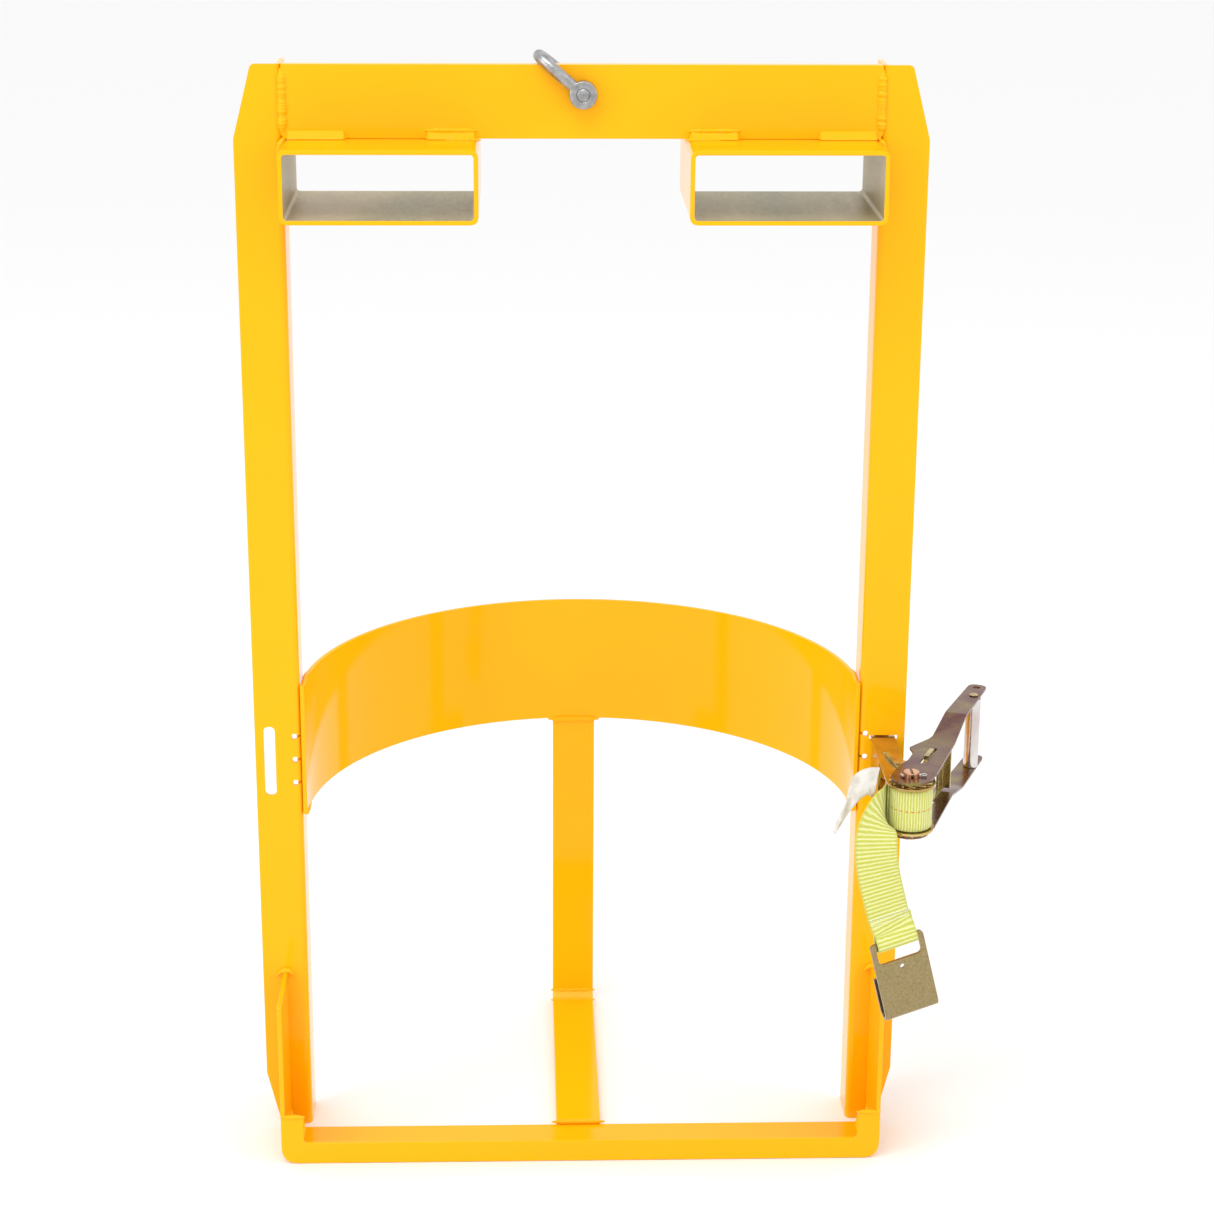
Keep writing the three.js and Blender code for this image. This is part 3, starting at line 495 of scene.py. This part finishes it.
def passivate_group():
    """Passivate film: its tone drifts across a piece, and the sheet's grain roughens it."""
    tree, given, result = new_group(
        "passivate_film", "ShaderNodeTree",
        [("Thick", "Color", (0.19, 0.11, 0.08, 1)), ("Middle", "Color", (0.27, 0.17, 0.07, 1)),
         ("Thin", "Color", (0.5, 0.42, 0.2, 1)), ("Drift", "Float", 30.0), ("Gloss", "Float", 0.2),
         ("Balance", "Float", 0.0)],
        [("Colour", "Color", None), ("Roughness", "Float", None), ("Normal", "Vector", None)])
    place = put(tree, "ShaderNodeTexCoord").outputs["Object"]
    cloud = put(tree, "ShaderNodeTexNoise", {"Vector": place, "Scale": given.outputs["Drift"],
                                             "Detail": 4.0, "Roughness": 0.5, "Distortion": 0.6})
    shifted = put(tree, "ShaderNodeMath", {0: cloud.outputs["Fac"], 1: given.outputs["Balance"]},
                  operation="ADD")
    first = put(tree, "ShaderNodeMapRange", {"Value": shifted.outputs[0], "From Min": 0.38,
                                             "From Max": 0.52})
    second = put(tree, "ShaderNodeMapRange", {"Value": shifted.outputs[0], "From Min": 0.56,
                                              "From Max": 0.72})
    base = put(tree, "ShaderNodeMix", {0: first.outputs["Result"], 6: given.outputs["Thick"],
                                       7: given.outputs["Middle"]}, data_type="RGBA")
    film = put(tree, "ShaderNodeMix", {0: second.outputs["Result"], 6: base.outputs[2],
                                       7: given.outputs["Thin"]}, data_type="RGBA")
    grain = put(tree, "ShaderNodeTexNoise", {"Vector": place, "Scale": 700.0, "Detail": 3.0})
    rough = put(tree, "ShaderNodeMapRange", {"Value": grain.outputs["Fac"], "From Min": 0.3,
                                             "From Max": 0.7, "To Max": 0.16})
    total = put(tree, "ShaderNodeMath", {0: rough.outputs["Result"], 1: given.outputs["Gloss"]},
                operation="ADD")
    bump = put(tree, "ShaderNodeBump", {"Height": grain.outputs["Fac"], "Strength": 0.5,
                                        "Distance": 0.00005})
    tree.links.new(film.outputs[2], result.inputs["Colour"])
    tree.links.new(total.outputs[0], result.inputs["Roughness"])
    tree.links.new(bump.outputs["Normal"], result.inputs["Normal"])
    return tree


passivate_film = passivate_group()


def passivated(name, thick, middle, thin, drift=30.0, gloss=0.14, balance=0.0):
    made, tree, shader = new_material(name, Metallic=0.92)
    film = put(tree, "ShaderNodeGroup", node_tree=passivate_film)
    for label, value in (("Thick", (*thick, 1)), ("Middle", (*middle, 1)), ("Thin", (*thin, 1)),
                         ("Drift", drift), ("Gloss", gloss), ("Balance", balance)):
        film.inputs[label].default_value = value
    wire(tree, film, shader, {"Colour": "Base Color", "Roughness": "Roughness", "Normal": "Normal"})
    return made


arm_plate = passivated("arm_passivate", (0.15, 0.065, 0.06), (0.20, 0.11, 0.07), (0.25, 0.20, 0.06))
ear_plate = passivated("ear_passivate", (0.45, 0.30, 0.10), (0.58, 0.42, 0.14), (0.66, 0.52, 0.24),
                       22.0, 0.08)
hook_plate = passivated("hook_passivate", (0.27, 0.21, 0.10), (0.33, 0.26, 0.12), (0.38, 0.27, 0.19),
                        420.0, 0.24)
pawl_plate = passivated("pawl_passivate", (0.42, 0.30, 0.13), (0.55, 0.47, 0.22), (0.50, 0.58, 0.36),
                        35.0, 0.16)
copper_bar = passivated("spindle_passivate", (0.62, 0.28, 0.16), (0.70, 0.40, 0.24), (0.78, 0.60, 0.45),
                        60.0, 0.1)
grip_zinc = passivated("grip_zinc_plate", (0.58, 0.50, 0.48), (0.66, 0.64, 0.62), (0.72, 0.72, 0.72),
                       25.0, 0.12)

for node, name in (("ratchet_frame", "formed_ear_plate"), ("anchor_bolt", "anchor_bolt_hex"),
                   ("anchor_nut", "anchor_nut_hex")):
    stands_for(node, name, [ear_plate], "frame", 0.0004)
stands_for("lock_pawl", "lock_pawl_plate", [pawl_plate], "lock_pawl", 0.0004)
for side in ("top", "bottom"):
    stands_for("ratchet_wheel_" + side, "toothed_wheel_" + side, [pawl_plate], "spool",
               0.0003)
for side in ("left", "right"):
    stands_for("spool_half_" + side, "spindle_half_" + side, [copper_bar], "spool",
               0.0006)

# ---------- ratchet: split pins ----------
# Soft steel cotters through both halves of the spindle, with a round eye and two bent legs.


def tube_mesh(name, points, radius, sides=10):
    """A round wire along points, with closed ends."""
    verts = []
    faces = []
    normal = None
    for i, point in enumerate(points):
        ahead = (points[min(i + 1, len(points) - 1)] - points[max(i - 1, 0)]).normalized()
        if normal is None:
            normal = ahead.orthogonal().normalized()
        normal = (normal - ahead * normal.dot(ahead)).normalized()
        across = ahead.cross(normal)
        for k in range(sides):
            turn = 2 * math.pi * k / sides
            verts.append(point + radius * (math.cos(turn) * normal + math.sin(turn) * across))
    for i in range(len(points) - 1):
        for k in range(sides):
            a = i * sides + k
            b = i * sides + (k + 1) % sides
            faces.append((a, b, b + sides, a + sides))
    faces.append(tuple(reversed(range(sides))))
    faces.append(tuple(range(len(verts) - sides, len(verts))))
    mesh = bpy.data.meshes.new(name)
    mesh.from_pydata([v[:] for v in verts], [], faces)
    return mesh


def smooth_route(points, steps):
    """Points on one smooth curve through the given ones."""
    points = [Vector(p) for p in points]
    padded = [2 * points[0] - points[1], *points, 2 * points[-1] - points[-2]]
    route = []
    for a, b, c, d in zip(padded, padded[1:], padded[2:], padded[3:]):
        for i in range(steps):
            t = i / steps
            route.append(0.5 * (2 * b + (c - a) * t + (2 * a - 5 * b + 4 * c - d) * t * t
                                + (3 * b - a - 3 * c + d) * t ** 3))
    route.append(points[-1])
    return route


bright_steel = passivated("cotter_steel", (0.55, 0.52, 0.47), (0.66, 0.64, 0.6), (0.75, 0.74, 0.72),
                          60.0, 0.14)
COTTER_WIRE_R = 0.0007
COTTER_EYE_R = 0.0032
for side in ("top", "bottom"):
    low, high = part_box("split_pin_" + side)
    middle = (low + high) / 2
    left = low.x
    right = high.x - COTTER_EYE_R
    wire_r = COTTER_WIRE_R
    route = [(x, middle.y + off, middle.z) for x, off in (
        (left + 0.004, -0.0042), (left + 0.0028, -0.0012), (left + 0.006, -wire_r),
        (right - 0.005, -wire_r), (right - 0.002, -0.0022), (right + 0.0012, -0.0022),
        (right + 0.0024, 0.0), (right + 0.0012, 0.0022), (right - 0.002, 0.0022),
        (right - 0.005, wire_r), (left + 0.006, wire_r), (left + 0.0018, 0.0014),
        (left + 0.0032, 0.0046))]
    cotter = link_piece("cotter_" + side, tube_mesh("cotter_" + side, smooth_route(route, 5), wire_r),
                        [bright_steel], "spool")
    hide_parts("split_pin_" + side)

# ---------- ratchet: handle ----------
# Two pressed arms that open out to a grip tube on a riveted axle, with a flat sprung pawl between.
for side in ("top", "bottom"):
    stands_for("handle_arm_" + side, "pressed_arm_" + side, [arm_plate], "handle",
               0.0005)
for node, name, finish, slot in (("grip_tube", "grip_sleeve", grip_zinc, "grip_zinc"),
                                 ("grip_rivet", "grip_axle", pawl_plate, "zinc_passivate")):
    stands_for(node, name, [finish], "handle", 0.0004)
stands_for("drive_pawl", "drive_pawl_plate", [pawl_plate], "drive_pawl", 0.0004)

# ---------- strap: webbing ----------
# 2 in polyester webbing in hi-vis lime, woven with raised cross ribs and tight selvedges. An
# orange tracer thread runs down the middle of the turns on the spool.
# Its colour is painted pale on the rib crests as a painted highlight and darker in the grooves as
# painted shade.
RIB = 0.0044
WARP_PITCH = 0.0012
TRACER_PITCH = 0.0062
WEBBING_W = 0.046


def webbing_group():
    """Woven ribs from a map of metres: u runs along the strap and v across it, from its middle. The
    colour is painted pale on the rib crests as a painted highlight, darker in the grooves as painted
    shade, and darker along both edges.
    """
    tree, given, result = new_group(
        "ribbed_weave", "ShaderNodeTree",
        [("Rib", "Float", RIB), ("Half Width", "Float", WEBBING_W / 2), ("Crest Highlight", "Color", (1, 1, 1, 1)),
         ("Groove Shade", "Color", (0.5, 0.6, 0.05, 1)), ("Body", "Color", (0.7, 0.8, 0.1, 1))],
        [("Colour", "Color", None), ("Height", "Float", None), ("Along", "Float", None),
         ("Across", "Float", None)])
    uv = put(tree, "ShaderNodeUVMap", uv_map="cloth")
    split = put(tree, "ShaderNodeSeparateXYZ", {"Vector": uv.outputs["UV"]})
    along, across = split.outputs["X"], split.outputs["Y"]
    wobble = put(tree, "ShaderNodeTexNoise", {"Vector": uv.outputs["UV"], "Scale": 160.0,
                                              "Detail": 2.0})
    shift = put(tree, "ShaderNodeMath", {0: wobble.outputs["Fac"], 1: 0.0016}, operation="MULTIPLY")
    moved = put(tree, "ShaderNodeMath", {0: along, 1: shift.outputs[0]}, operation="ADD")
    turns = put(tree, "ShaderNodeMath", {0: moved.outputs[0], 1: given.outputs["Rib"]},
                operation="DIVIDE")
    phase = put(tree, "ShaderNodeMath", {0: turns.outputs[0], 1: 2 * math.pi}, operation="MULTIPLY")
    wave = put(tree, "ShaderNodeMath", {0: phase.outputs[0]}, operation="SINE")
    rib = put(tree, "ShaderNodeMapRange", {"Value": wave.outputs[0], "From Min": -1.0, "From Max": 1.0})
    threads = put(tree, "ShaderNodeMath", {0: across, 1: 2 * math.pi / WARP_PITCH},
                  operation="MULTIPLY")
    warp = put(tree, "ShaderNodeMath", {0: threads.outputs[0]}, operation="SINE")
    warp_part = put(tree, "ShaderNodeMath", {0: warp.outputs[0], 1: 0.34}, operation="MULTIPLY")
    fleck = put(tree, "ShaderNodeTexNoise", {"Vector": uv.outputs["UV"], "Scale": 900.0, "Detail": 2.0})
    fleck_part = put(tree, "ShaderNodeMath", {0: fleck.outputs["Fac"], 1: 0.5, 2: -0.25},
                     operation="MULTIPLY_ADD")
    lift = put(tree, "ShaderNodeMath", {0: rib.outputs["Result"], 1: warp_part.outputs[0]},
               operation="ADD")
    total = put(tree, "ShaderNodeMath", {0: lift.outputs[0], 1: fleck_part.outputs[0]}, operation="ADD")
    # painted shade: the grooves between the ribs are painted towards the darker low colour
    groove_shade_mix = put(tree, "ShaderNodeMapRange", {"Value": total.outputs[0], "From Min": 0.0,
                                            "From Max": 0.45})
    # painted highlight: the rib crests are painted towards a near-white colour
    crest_highlight_mix = put(tree, "ShaderNodeMapRange", {"Value": total.outputs[0], "From Min": 0.62,
                                             "From Max": 1.05})
    groove_shaded_body = put(tree, "ShaderNodeMix", {0: groove_shade_mix.outputs["Result"], 6: given.outputs["Groove Shade"],
                                       7: given.outputs["Body"]}, data_type="RGBA")
    light = put(tree, "ShaderNodeMix", {0: crest_highlight_mix.outputs["Result"], 6: groove_shaded_body.outputs[2],
                                        7: given.outputs["Crest Highlight"]}, data_type="RGBA")
    # the colour also goes darker towards both edges, towards the same darker low colour
    out_from_middle = put(tree, "ShaderNodeMath", {0: across}, operation="ABSOLUTE")
    edge_start = put(tree, "ShaderNodeMath", {0: given.outputs["Half Width"], 1: 0.0022},
                     operation="SUBTRACT")
    edge = put(tree, "ShaderNodeMapRange", {"Value": out_from_middle.outputs[0],
                                            "From Min": edge_start.outputs[0],
                                            "From Max": given.outputs["Half Width"], "To Max": 0.75})
    whole = put(tree, "ShaderNodeMix", {0: edge.outputs["Result"], 6: light.outputs[2],
                                        7: given.outputs["Groove Shade"]}, data_type="RGBA")
    for value, socket in ((whole.outputs[2], "Colour"), (total.outputs[0], "Height"),
                          (along, "Along"), (across, "Across")):
        tree.links.new(value, result.inputs[socket])
    return tree


ribbed_weave = webbing_group()


def webbing(name, rib, tracer_half):
    """Webbing with a dashed orange tracer thread down its middle, tracer_half wide each way."""
    made, tree, shader = new_material(name, Roughness=0.62, Sheen_Weight=0.35, Sheen_Roughness=0.4,
                                      Specular_IOR_Level=0.35)
    cloth = put(tree, "ShaderNodeGroup", node_tree=ribbed_weave)
    # the near-white colour is a painted highlight on the rib crests and the darkest one a painted shade
    # in the grooves; the middle one is the webbing's own lime
    for label, colour in (("Crest Highlight", (0.93, 0.93, 0.55)), ("Body", (0.72, 0.74, 0.13)),
                          ("Groove Shade", (0.56, 0.57, 0.08))):
        cloth.inputs[label].default_value = (*colour, 1)
    cloth.inputs["Rib"].default_value = rib
    away = put(tree, "ShaderNodeMath", {0: cloth.outputs["Across"]}, operation="ABSOLUTE")
    on_line = put(tree, "ShaderNodeMath", {0: away.outputs[0], 1: tracer_half}, operation="LESS_THAN")
    turn = put(tree, "ShaderNodeMath", {0: cloth.outputs["Along"], 1: 2 * math.pi / TRACER_PITCH},
               operation="MULTIPLY")
    dash = put(tree, "ShaderNodeMath", {0: turn.outputs[0]}, operation="SINE")
    on_dash = put(tree, "ShaderNodeMath", {0: dash.outputs[0], 1: -0.2}, operation="GREATER_THAN")
    tracer = put(tree, "ShaderNodeMath", {0: on_line.outputs[0], 1: on_dash.outputs[0]},
                 operation="MULTIPLY")
    colour = put(tree, "ShaderNodeMix", {0: tracer.outputs[0], 6: cloth.outputs["Colour"],
                                         7: (0.78, 0.22, 0.02, 1)}, data_type="RGBA")
    tree.links.new(colour.outputs[2], shader.inputs["Base Color"])
    bump = put(tree, "ShaderNodeBump", {"Height": cloth.outputs["Height"], "Strength": 0.9,
                                        "Distance": 0.0006})
    tree.links.new(bump.outputs["Normal"], shader.inputs["Normal"])
    return made


roll_webbing = webbing("lime_webbing_rolled", 0.0030, 0.0006)
tail_webbing = webbing("lime_webbing_hanging", RIB, 0.0)


def ribbon_mesh(name, stations, width, thickness, across=12):
    """A strap through (middle, direction to its edge) stations, with rounded edges and a metre map."""
    half = thickness / 2
    flat_w = width - 1.2 * half
    profile = [(-width / 2 + 0.6 * half + flat_w * k / across, half) for k in range(across + 1)]
    profile += [(width / 2, half * 0.45), (width / 2, -half * 0.45)]
    profile += [(v, -half) for v, _ in reversed(profile[:across + 1])]
    profile += [(-width / 2, -half * 0.45), (-width / 2, half * 0.45)]
    count = len(profile)
    verts = []
    lengths = [0.0]
    for i, (middle, edge) in enumerate(stations):
        before = stations[max(i - 1, 0)][0]
        after = stations[min(i + 1, len(stations) - 1)][0]
        ahead = (after - before).normalized()
        face = ahead.cross(edge).normalized()
        edge = face.cross(ahead).normalized()
        verts += [middle + edge * v + face * h for v, h in profile]
        if i:
            lengths.append(lengths[-1] + (middle - before).length)
    faces = []
    for i in range(len(stations) - 1):
        for k in range(count):
            a, b = i * count + k, i * count + (k + 1) % count
            faces.append((a, b, b + count, a + count))
    faces.append(tuple(reversed(range(count))))
    faces.append(tuple(range(len(verts) - count, len(verts))))
    mesh = bpy.data.meshes.new(name)
    mesh.from_pydata([v[:] for v in verts], [], faces)
    cloth = mesh.uv_layers.new(name="cloth")
    for loop in mesh.loops:
        row, k = divmod(loop.vertex_index, count)
        cloth.data[loop.index].uv = (lengths[row], profile[k][0])
    mesh.validate()
    return mesh, lengths[-1]


# ---------- strap: turns on the spool ----------
# Six tight turns, wound round the spindle and out to the tail.
roll_low, roll_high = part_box("strap_roll")
axis = (roll_low + roll_high) / 2
outer_r = (roll_high.x - roll_low.x) / 2
WEBBING_T = 0.0020
TURN_PITCH = 0.00225
TURNS = 6
TURN_STEPS = 72
last = TURNS * TURN_STEPS
stations = []
for i in range(last + 1):
    angle = math.pi + 2 * math.pi * (i - last) / TURN_STEPS
    radius = outer_r - WEBBING_T / 2 - TURN_PITCH * (last - i) / TURN_STEPS
    spoke = Vector((radius * math.cos(angle), radius * math.sin(angle), 0))
    stations.append((axis + spoke, Vector((0, 0, 1))))
roll_mesh, roll_length = ribbon_mesh("webbing_turns", stations, WEBBING_W, WEBBING_T, 8)
turns = link_piece("webbing_turns", roll_mesh, [roll_webbing], "spool")
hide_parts("strap_roll")

# ---------- strap: tail and sewn loop ----------
# The end of the strap leaves the turns, twists to face the front, hangs down and is sewn back
# on itself round the flat hook.
HOOK_BAR = Vector((0.3373, -0.169, 0.3065))
hook_turn = Matrix.Rotation(math.radians(-14), 3, "Y") @ Matrix.Rotation(math.radians(12), 3, "Z")
hook_left = hook_turn @ Vector((-1, 0, 0))
LEAVING_R = 0.0266
route = []
for angle in range(95, 168, 12):
    spoke = Vector((math.cos(math.radians(angle)), math.sin(math.radians(angle)), 0))
    route.append((axis + spoke * LEAVING_R, Vector((0, 0, 1))))
for middle, edge in (
        ((324, -133, 451), (0, 0, 1)), ((322, -141.5, 450.8), (-0.08, -0.03, 1)),
        ((318.5, -150, 449), (-0.33, -0.08, 0.94)), ((315, -158, 443.5), (-0.6, -0.1, 0.79)),
        ((312.5, -164, 434), (-0.8, -0.08, 0.59)), ((311.6, -167.5, 421), (-0.93, -0.06, 0.36)),
        ((312.2, -169, 404), (-0.985, -0.06, 0.05)), ((316, -169, 381), (-0.98, -0.1, -0.17)),
        ((322.5, -169, 355), (-0.96, -0.15, -0.23)), ((328.5, -169, 333), (-0.949, -0.2, -0.24))):
    route.append((Vector(middle) / 1000, Vector(edge)))
for out, up in ((-0.0012, 0.0150), (-0.0036, 0.0080), (-0.0056, 0.0015), (-0.0047, -0.0036),
                (0, -0.0057), (0.0047, -0.0036), (0.0056, 0.0015), (0.0040, 0.0080),
                (0.0016, 0.0150), (0.0013, 0.0240), (0.0015, 0.0300)):
    route.append((HOOK_BAR + hook_turn @ Vector((0, out, up)), hook_left))
TAIL_STEPS = 8
middles = smooth_route([middle for middle, edge in route], TAIL_STEPS)
edges = smooth_route([edge for middle, edge in route], TAIL_STEPS)
tail_mesh, tail_length = ribbon_mesh("webbing_tail", list(zip(middles, edges)), WEBBING_W, WEBBING_T, 16)
tail = link_piece("webbing_tail", tail_mesh, [tail_webbing], "frame")
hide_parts("strap_tail")

# ---------- strap: stitches ----------
# Pale polyester thread, lockstitched in rows across the loop, through both layers of webbing.


def stitch_tree():
    """A short bulging stitch at every step along a mesh's lines."""
    tree, given, result = new_group(
        "stitches", "GeometryNodeTree",
        [("Geometry", "Geometry", None), ("Pitch", "Float", 0.003), ("Length", "Float", 0.0024),
         ("Radius", "Float", 0.0004), ("Finish", "Material", None)],
        [("Geometry", "Geometry", None)])
    line = put(tree, "GeometryNodeMeshToCurve", {"Mesh": given.outputs["Geometry"]})
    steps = put(tree, "GeometryNodeResampleCurve", {"Curve": line.outputs["Curve"],
                                                    "Length": given.outputs["Pitch"]}, mode="LENGTH")
    half = put(tree, "ShaderNodeMath", {0: given.outputs["Length"], 1: 0.5}, operation="MULTIPLY")
    size = put(tree, "ShaderNodeCombineXYZ", {"X": given.outputs["Radius"],
                                              "Y": given.outputs["Radius"], "Z": half.outputs[0]})
    facing = put(tree, "FunctionNodeAlignRotationToVector",
                 {"Vector": put(tree, "GeometryNodeInputTangent").outputs["Tangent"]}, axis="Z")
    bulge = put(tree, "GeometryNodeMeshUVSphere", {"Segments": 10, "Rings": 8, "Radius": 1.0})
    laid = put(tree, "GeometryNodeInstanceOnPoints",
               {"Points": steps.outputs["Curve"], "Instance": bulge.outputs["Mesh"],
                "Rotation": facing.outputs["Rotation"], "Scale": size.outputs["Vector"]})
    real = put(tree, "GeometryNodeRealizeInstances", {"Geometry": laid.outputs["Instances"]})
    done = put(tree, "GeometryNodeSetMaterial", {"Geometry": real.outputs["Geometry"],
                                                 "Material": given.outputs["Finish"]})
    tree.links.new(done.outputs["Geometry"], result.inputs["Geometry"])
    return tree


thread, _, _ = new_material("polyester_thread", Base_Color=(0.80, 0.80, 0.68, 1), Roughness=0.55)
ROW_HEIGHTS = (0.331, 0.335, 0.339)
ROW_PLACES = (-0.0205, -0.007, 0.007, 0.0205)
ROW_LIFT = 0.00115
rows = []
for height in ROW_HEIGHTS:
    place = min((i for i in range(len(middles) // 2, len(middles)) if middles[i].y < -0.168),
                key=lambda i: abs(middles[i].z - height))
    ahead = (middles[place + 1] - middles[place - 1]).normalized()
    front = ahead.cross(edges[place]).normalized()
    if front.y > 0:
        front = -front
    across = edges[place].normalized()
    rows.append([middles[place] + front * ROW_LIFT + across * v for v in ROW_PLACES])
stitches = grown_mesh("loop_stitches", lines_mesh("stitch_rows", rows), stitch_tree(), {
    "Pitch": 0.0034, "Length": 0.0030, "Radius": 0.00045, "Finish": thread})
link_piece("loop_stitches", stitches, [thread], "frame")

# ---------- strap: flat hook ----------
# Pressed 5/32 in plate, bent back on itself into a J, slotted for the webbing.
stands_for("flat_hook", "flat_hook_plate", [hook_plate], "flat_hook", 0.0006)

# ---------- strap: tag ----------
# A blank coated cloth tag, sewn in beside the turns, with its torn long end drooping.


def tag_cloth():
    made, tree, shader = new_material("tag_cloth", Roughness=0.7, Specular_IOR_Level=0.3)
    place = put(tree, "ShaderNodeTexCoord").outputs["Object"]
    grime = put(tree, "ShaderNodeTexNoise", {"Vector": place, "Scale": 90.0, "Detail": 4.0})
    colour = ramp(tree, grime.outputs["Fac"], [(0.35, (0.62, 0.58, 0.50)), (0.6, (0.78, 0.75, 0.70))])
    tree.links.new(colour, shader.inputs["Base Color"])
    weave = put(tree, "ShaderNodeTexNoise", {"Vector": place, "Scale": 1500.0, "Detail": 1.0})
    bump = put(tree, "ShaderNodeBump", {"Height": weave.outputs["Fac"], "Strength": 0.4,
                                        "Distance": 0.0001})
    tree.links.new(bump.outputs["Normal"], shader.inputs["Normal"])
    return made


tag_finish = tag_cloth()
TAG_THICK = 0.0006


def tag_mesh():
    """One curved leaf, wide beside the turns and narrowing to a tongue that droops to a point."""
    spine = smooth_route([
        (0.3125, -0.1455, 0.4815), (0.305, -0.1480, 0.4825), (0.2975, -0.1485, 0.4790),
        (0.2900, -0.1465, 0.4690), (0.2845, -0.1455, 0.4560), (0.2760, -0.1460, 0.4400),
        (0.2690, -0.1475, 0.4235)], 6)
    spans = smooth_route([(half_w, 0, 0) for half_w in (
        0.0165, 0.0170, 0.0150, 0.0085, 0.0050, 0.0036, 0.0008)], 6)
    verts = []
    rows = 7
    for i, (point, span) in enumerate(zip(spine, spans)):
        ahead = (spine[min(i + 1, len(spine) - 1)] - spine[max(i - 1, 0)]).normalized()
        across = Vector((0, 1, 0)).cross(ahead).normalized()
        for k in range(rows):
            side = 2 * k / (rows - 1) - 1
            lift = 0.0016 * math.sin(2.4 * side + 0.35 * i)
            verts.append(point + across * side * span.x + Vector((0, lift, 0)))
    faces = [(i * rows + k, i * rows + k + 1, (i + 1) * rows + k + 1, (i + 1) * rows + k)
             for i in range(len(spine) - 1) for k in range(rows - 1)]
    mesh = bpy.data.meshes.new("cloth_tag")
    mesh.from_pydata([v[:] for v in verts], [], faces)
    return mesh


tag = link_piece("cloth_tag", tag_mesh(), [tag_finish], "frame")
thick = tag.modifiers.new("thick", "SOLIDIFY")
thick.thickness = TAG_THICK
thick.offset = 0
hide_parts("strap_label")

# ---------- floor and light ----------
# A pale seamless floor under broad overhead and side softboxes.
floor_mesh = bpy.data.meshes.new("studio_floor")
FLOOR_REACH = 40.0
FLOOR_Z = -0.0004
floor_mesh.from_pydata([(x * FLOOR_REACH, y * FLOOR_REACH, FLOOR_Z)
                        for x, y in ((-1, -1), (1, -1), (1, 1), (-1, 1))], [], [(0, 1, 2, 3)])
floor = bpy.data.objects.new("studio_floor", floor_mesh)
bpy.context.scene.collection.objects.link(floor)
pale, _, _ = new_material("pale_floor", Base_Color=(0.90, 0.90, 0.90, 1), Roughness=0.85,
                          Specular_IOR_Level=0.2)
floor_mesh.materials.append(pale)

world = bpy.data.worlds.new("studio")
world.use_nodes = True
world.node_tree.nodes["Background"].inputs["Color"].default_value = (1, 1, 1, 1)
world.node_tree.nodes["Background"].inputs["Strength"].default_value = 1.05
bpy.context.scene.world = world


def softbox(name, place, target, size, power):
    lamp = bpy.data.lights.new(name, "AREA")
    lamp.shape = "RECTANGLE"
    lamp.size, lamp.size_y = size
    lamp.energy = power
    holder = bpy.data.objects.new(name, lamp)
    holder.location = place
    holder.rotation_euler = (Vector(target) - Vector(place)).to_track_quat("-Z", "Y").to_euler()
    bpy.context.scene.collection.objects.link(holder)


softbox("overhead", (-0.8, -1.6, 4.0), (0, 0, 0.5), (2.4, 1.6), 44)
softbox("left_side", (-3.2, -1.8, 2.0), (0, 0, 0.7), (1.2, 2.0), 22)
softbox("right_side", (3.2, -1.2, 2.2), (0, 0, 0.7), (1.2, 2.0), 18)
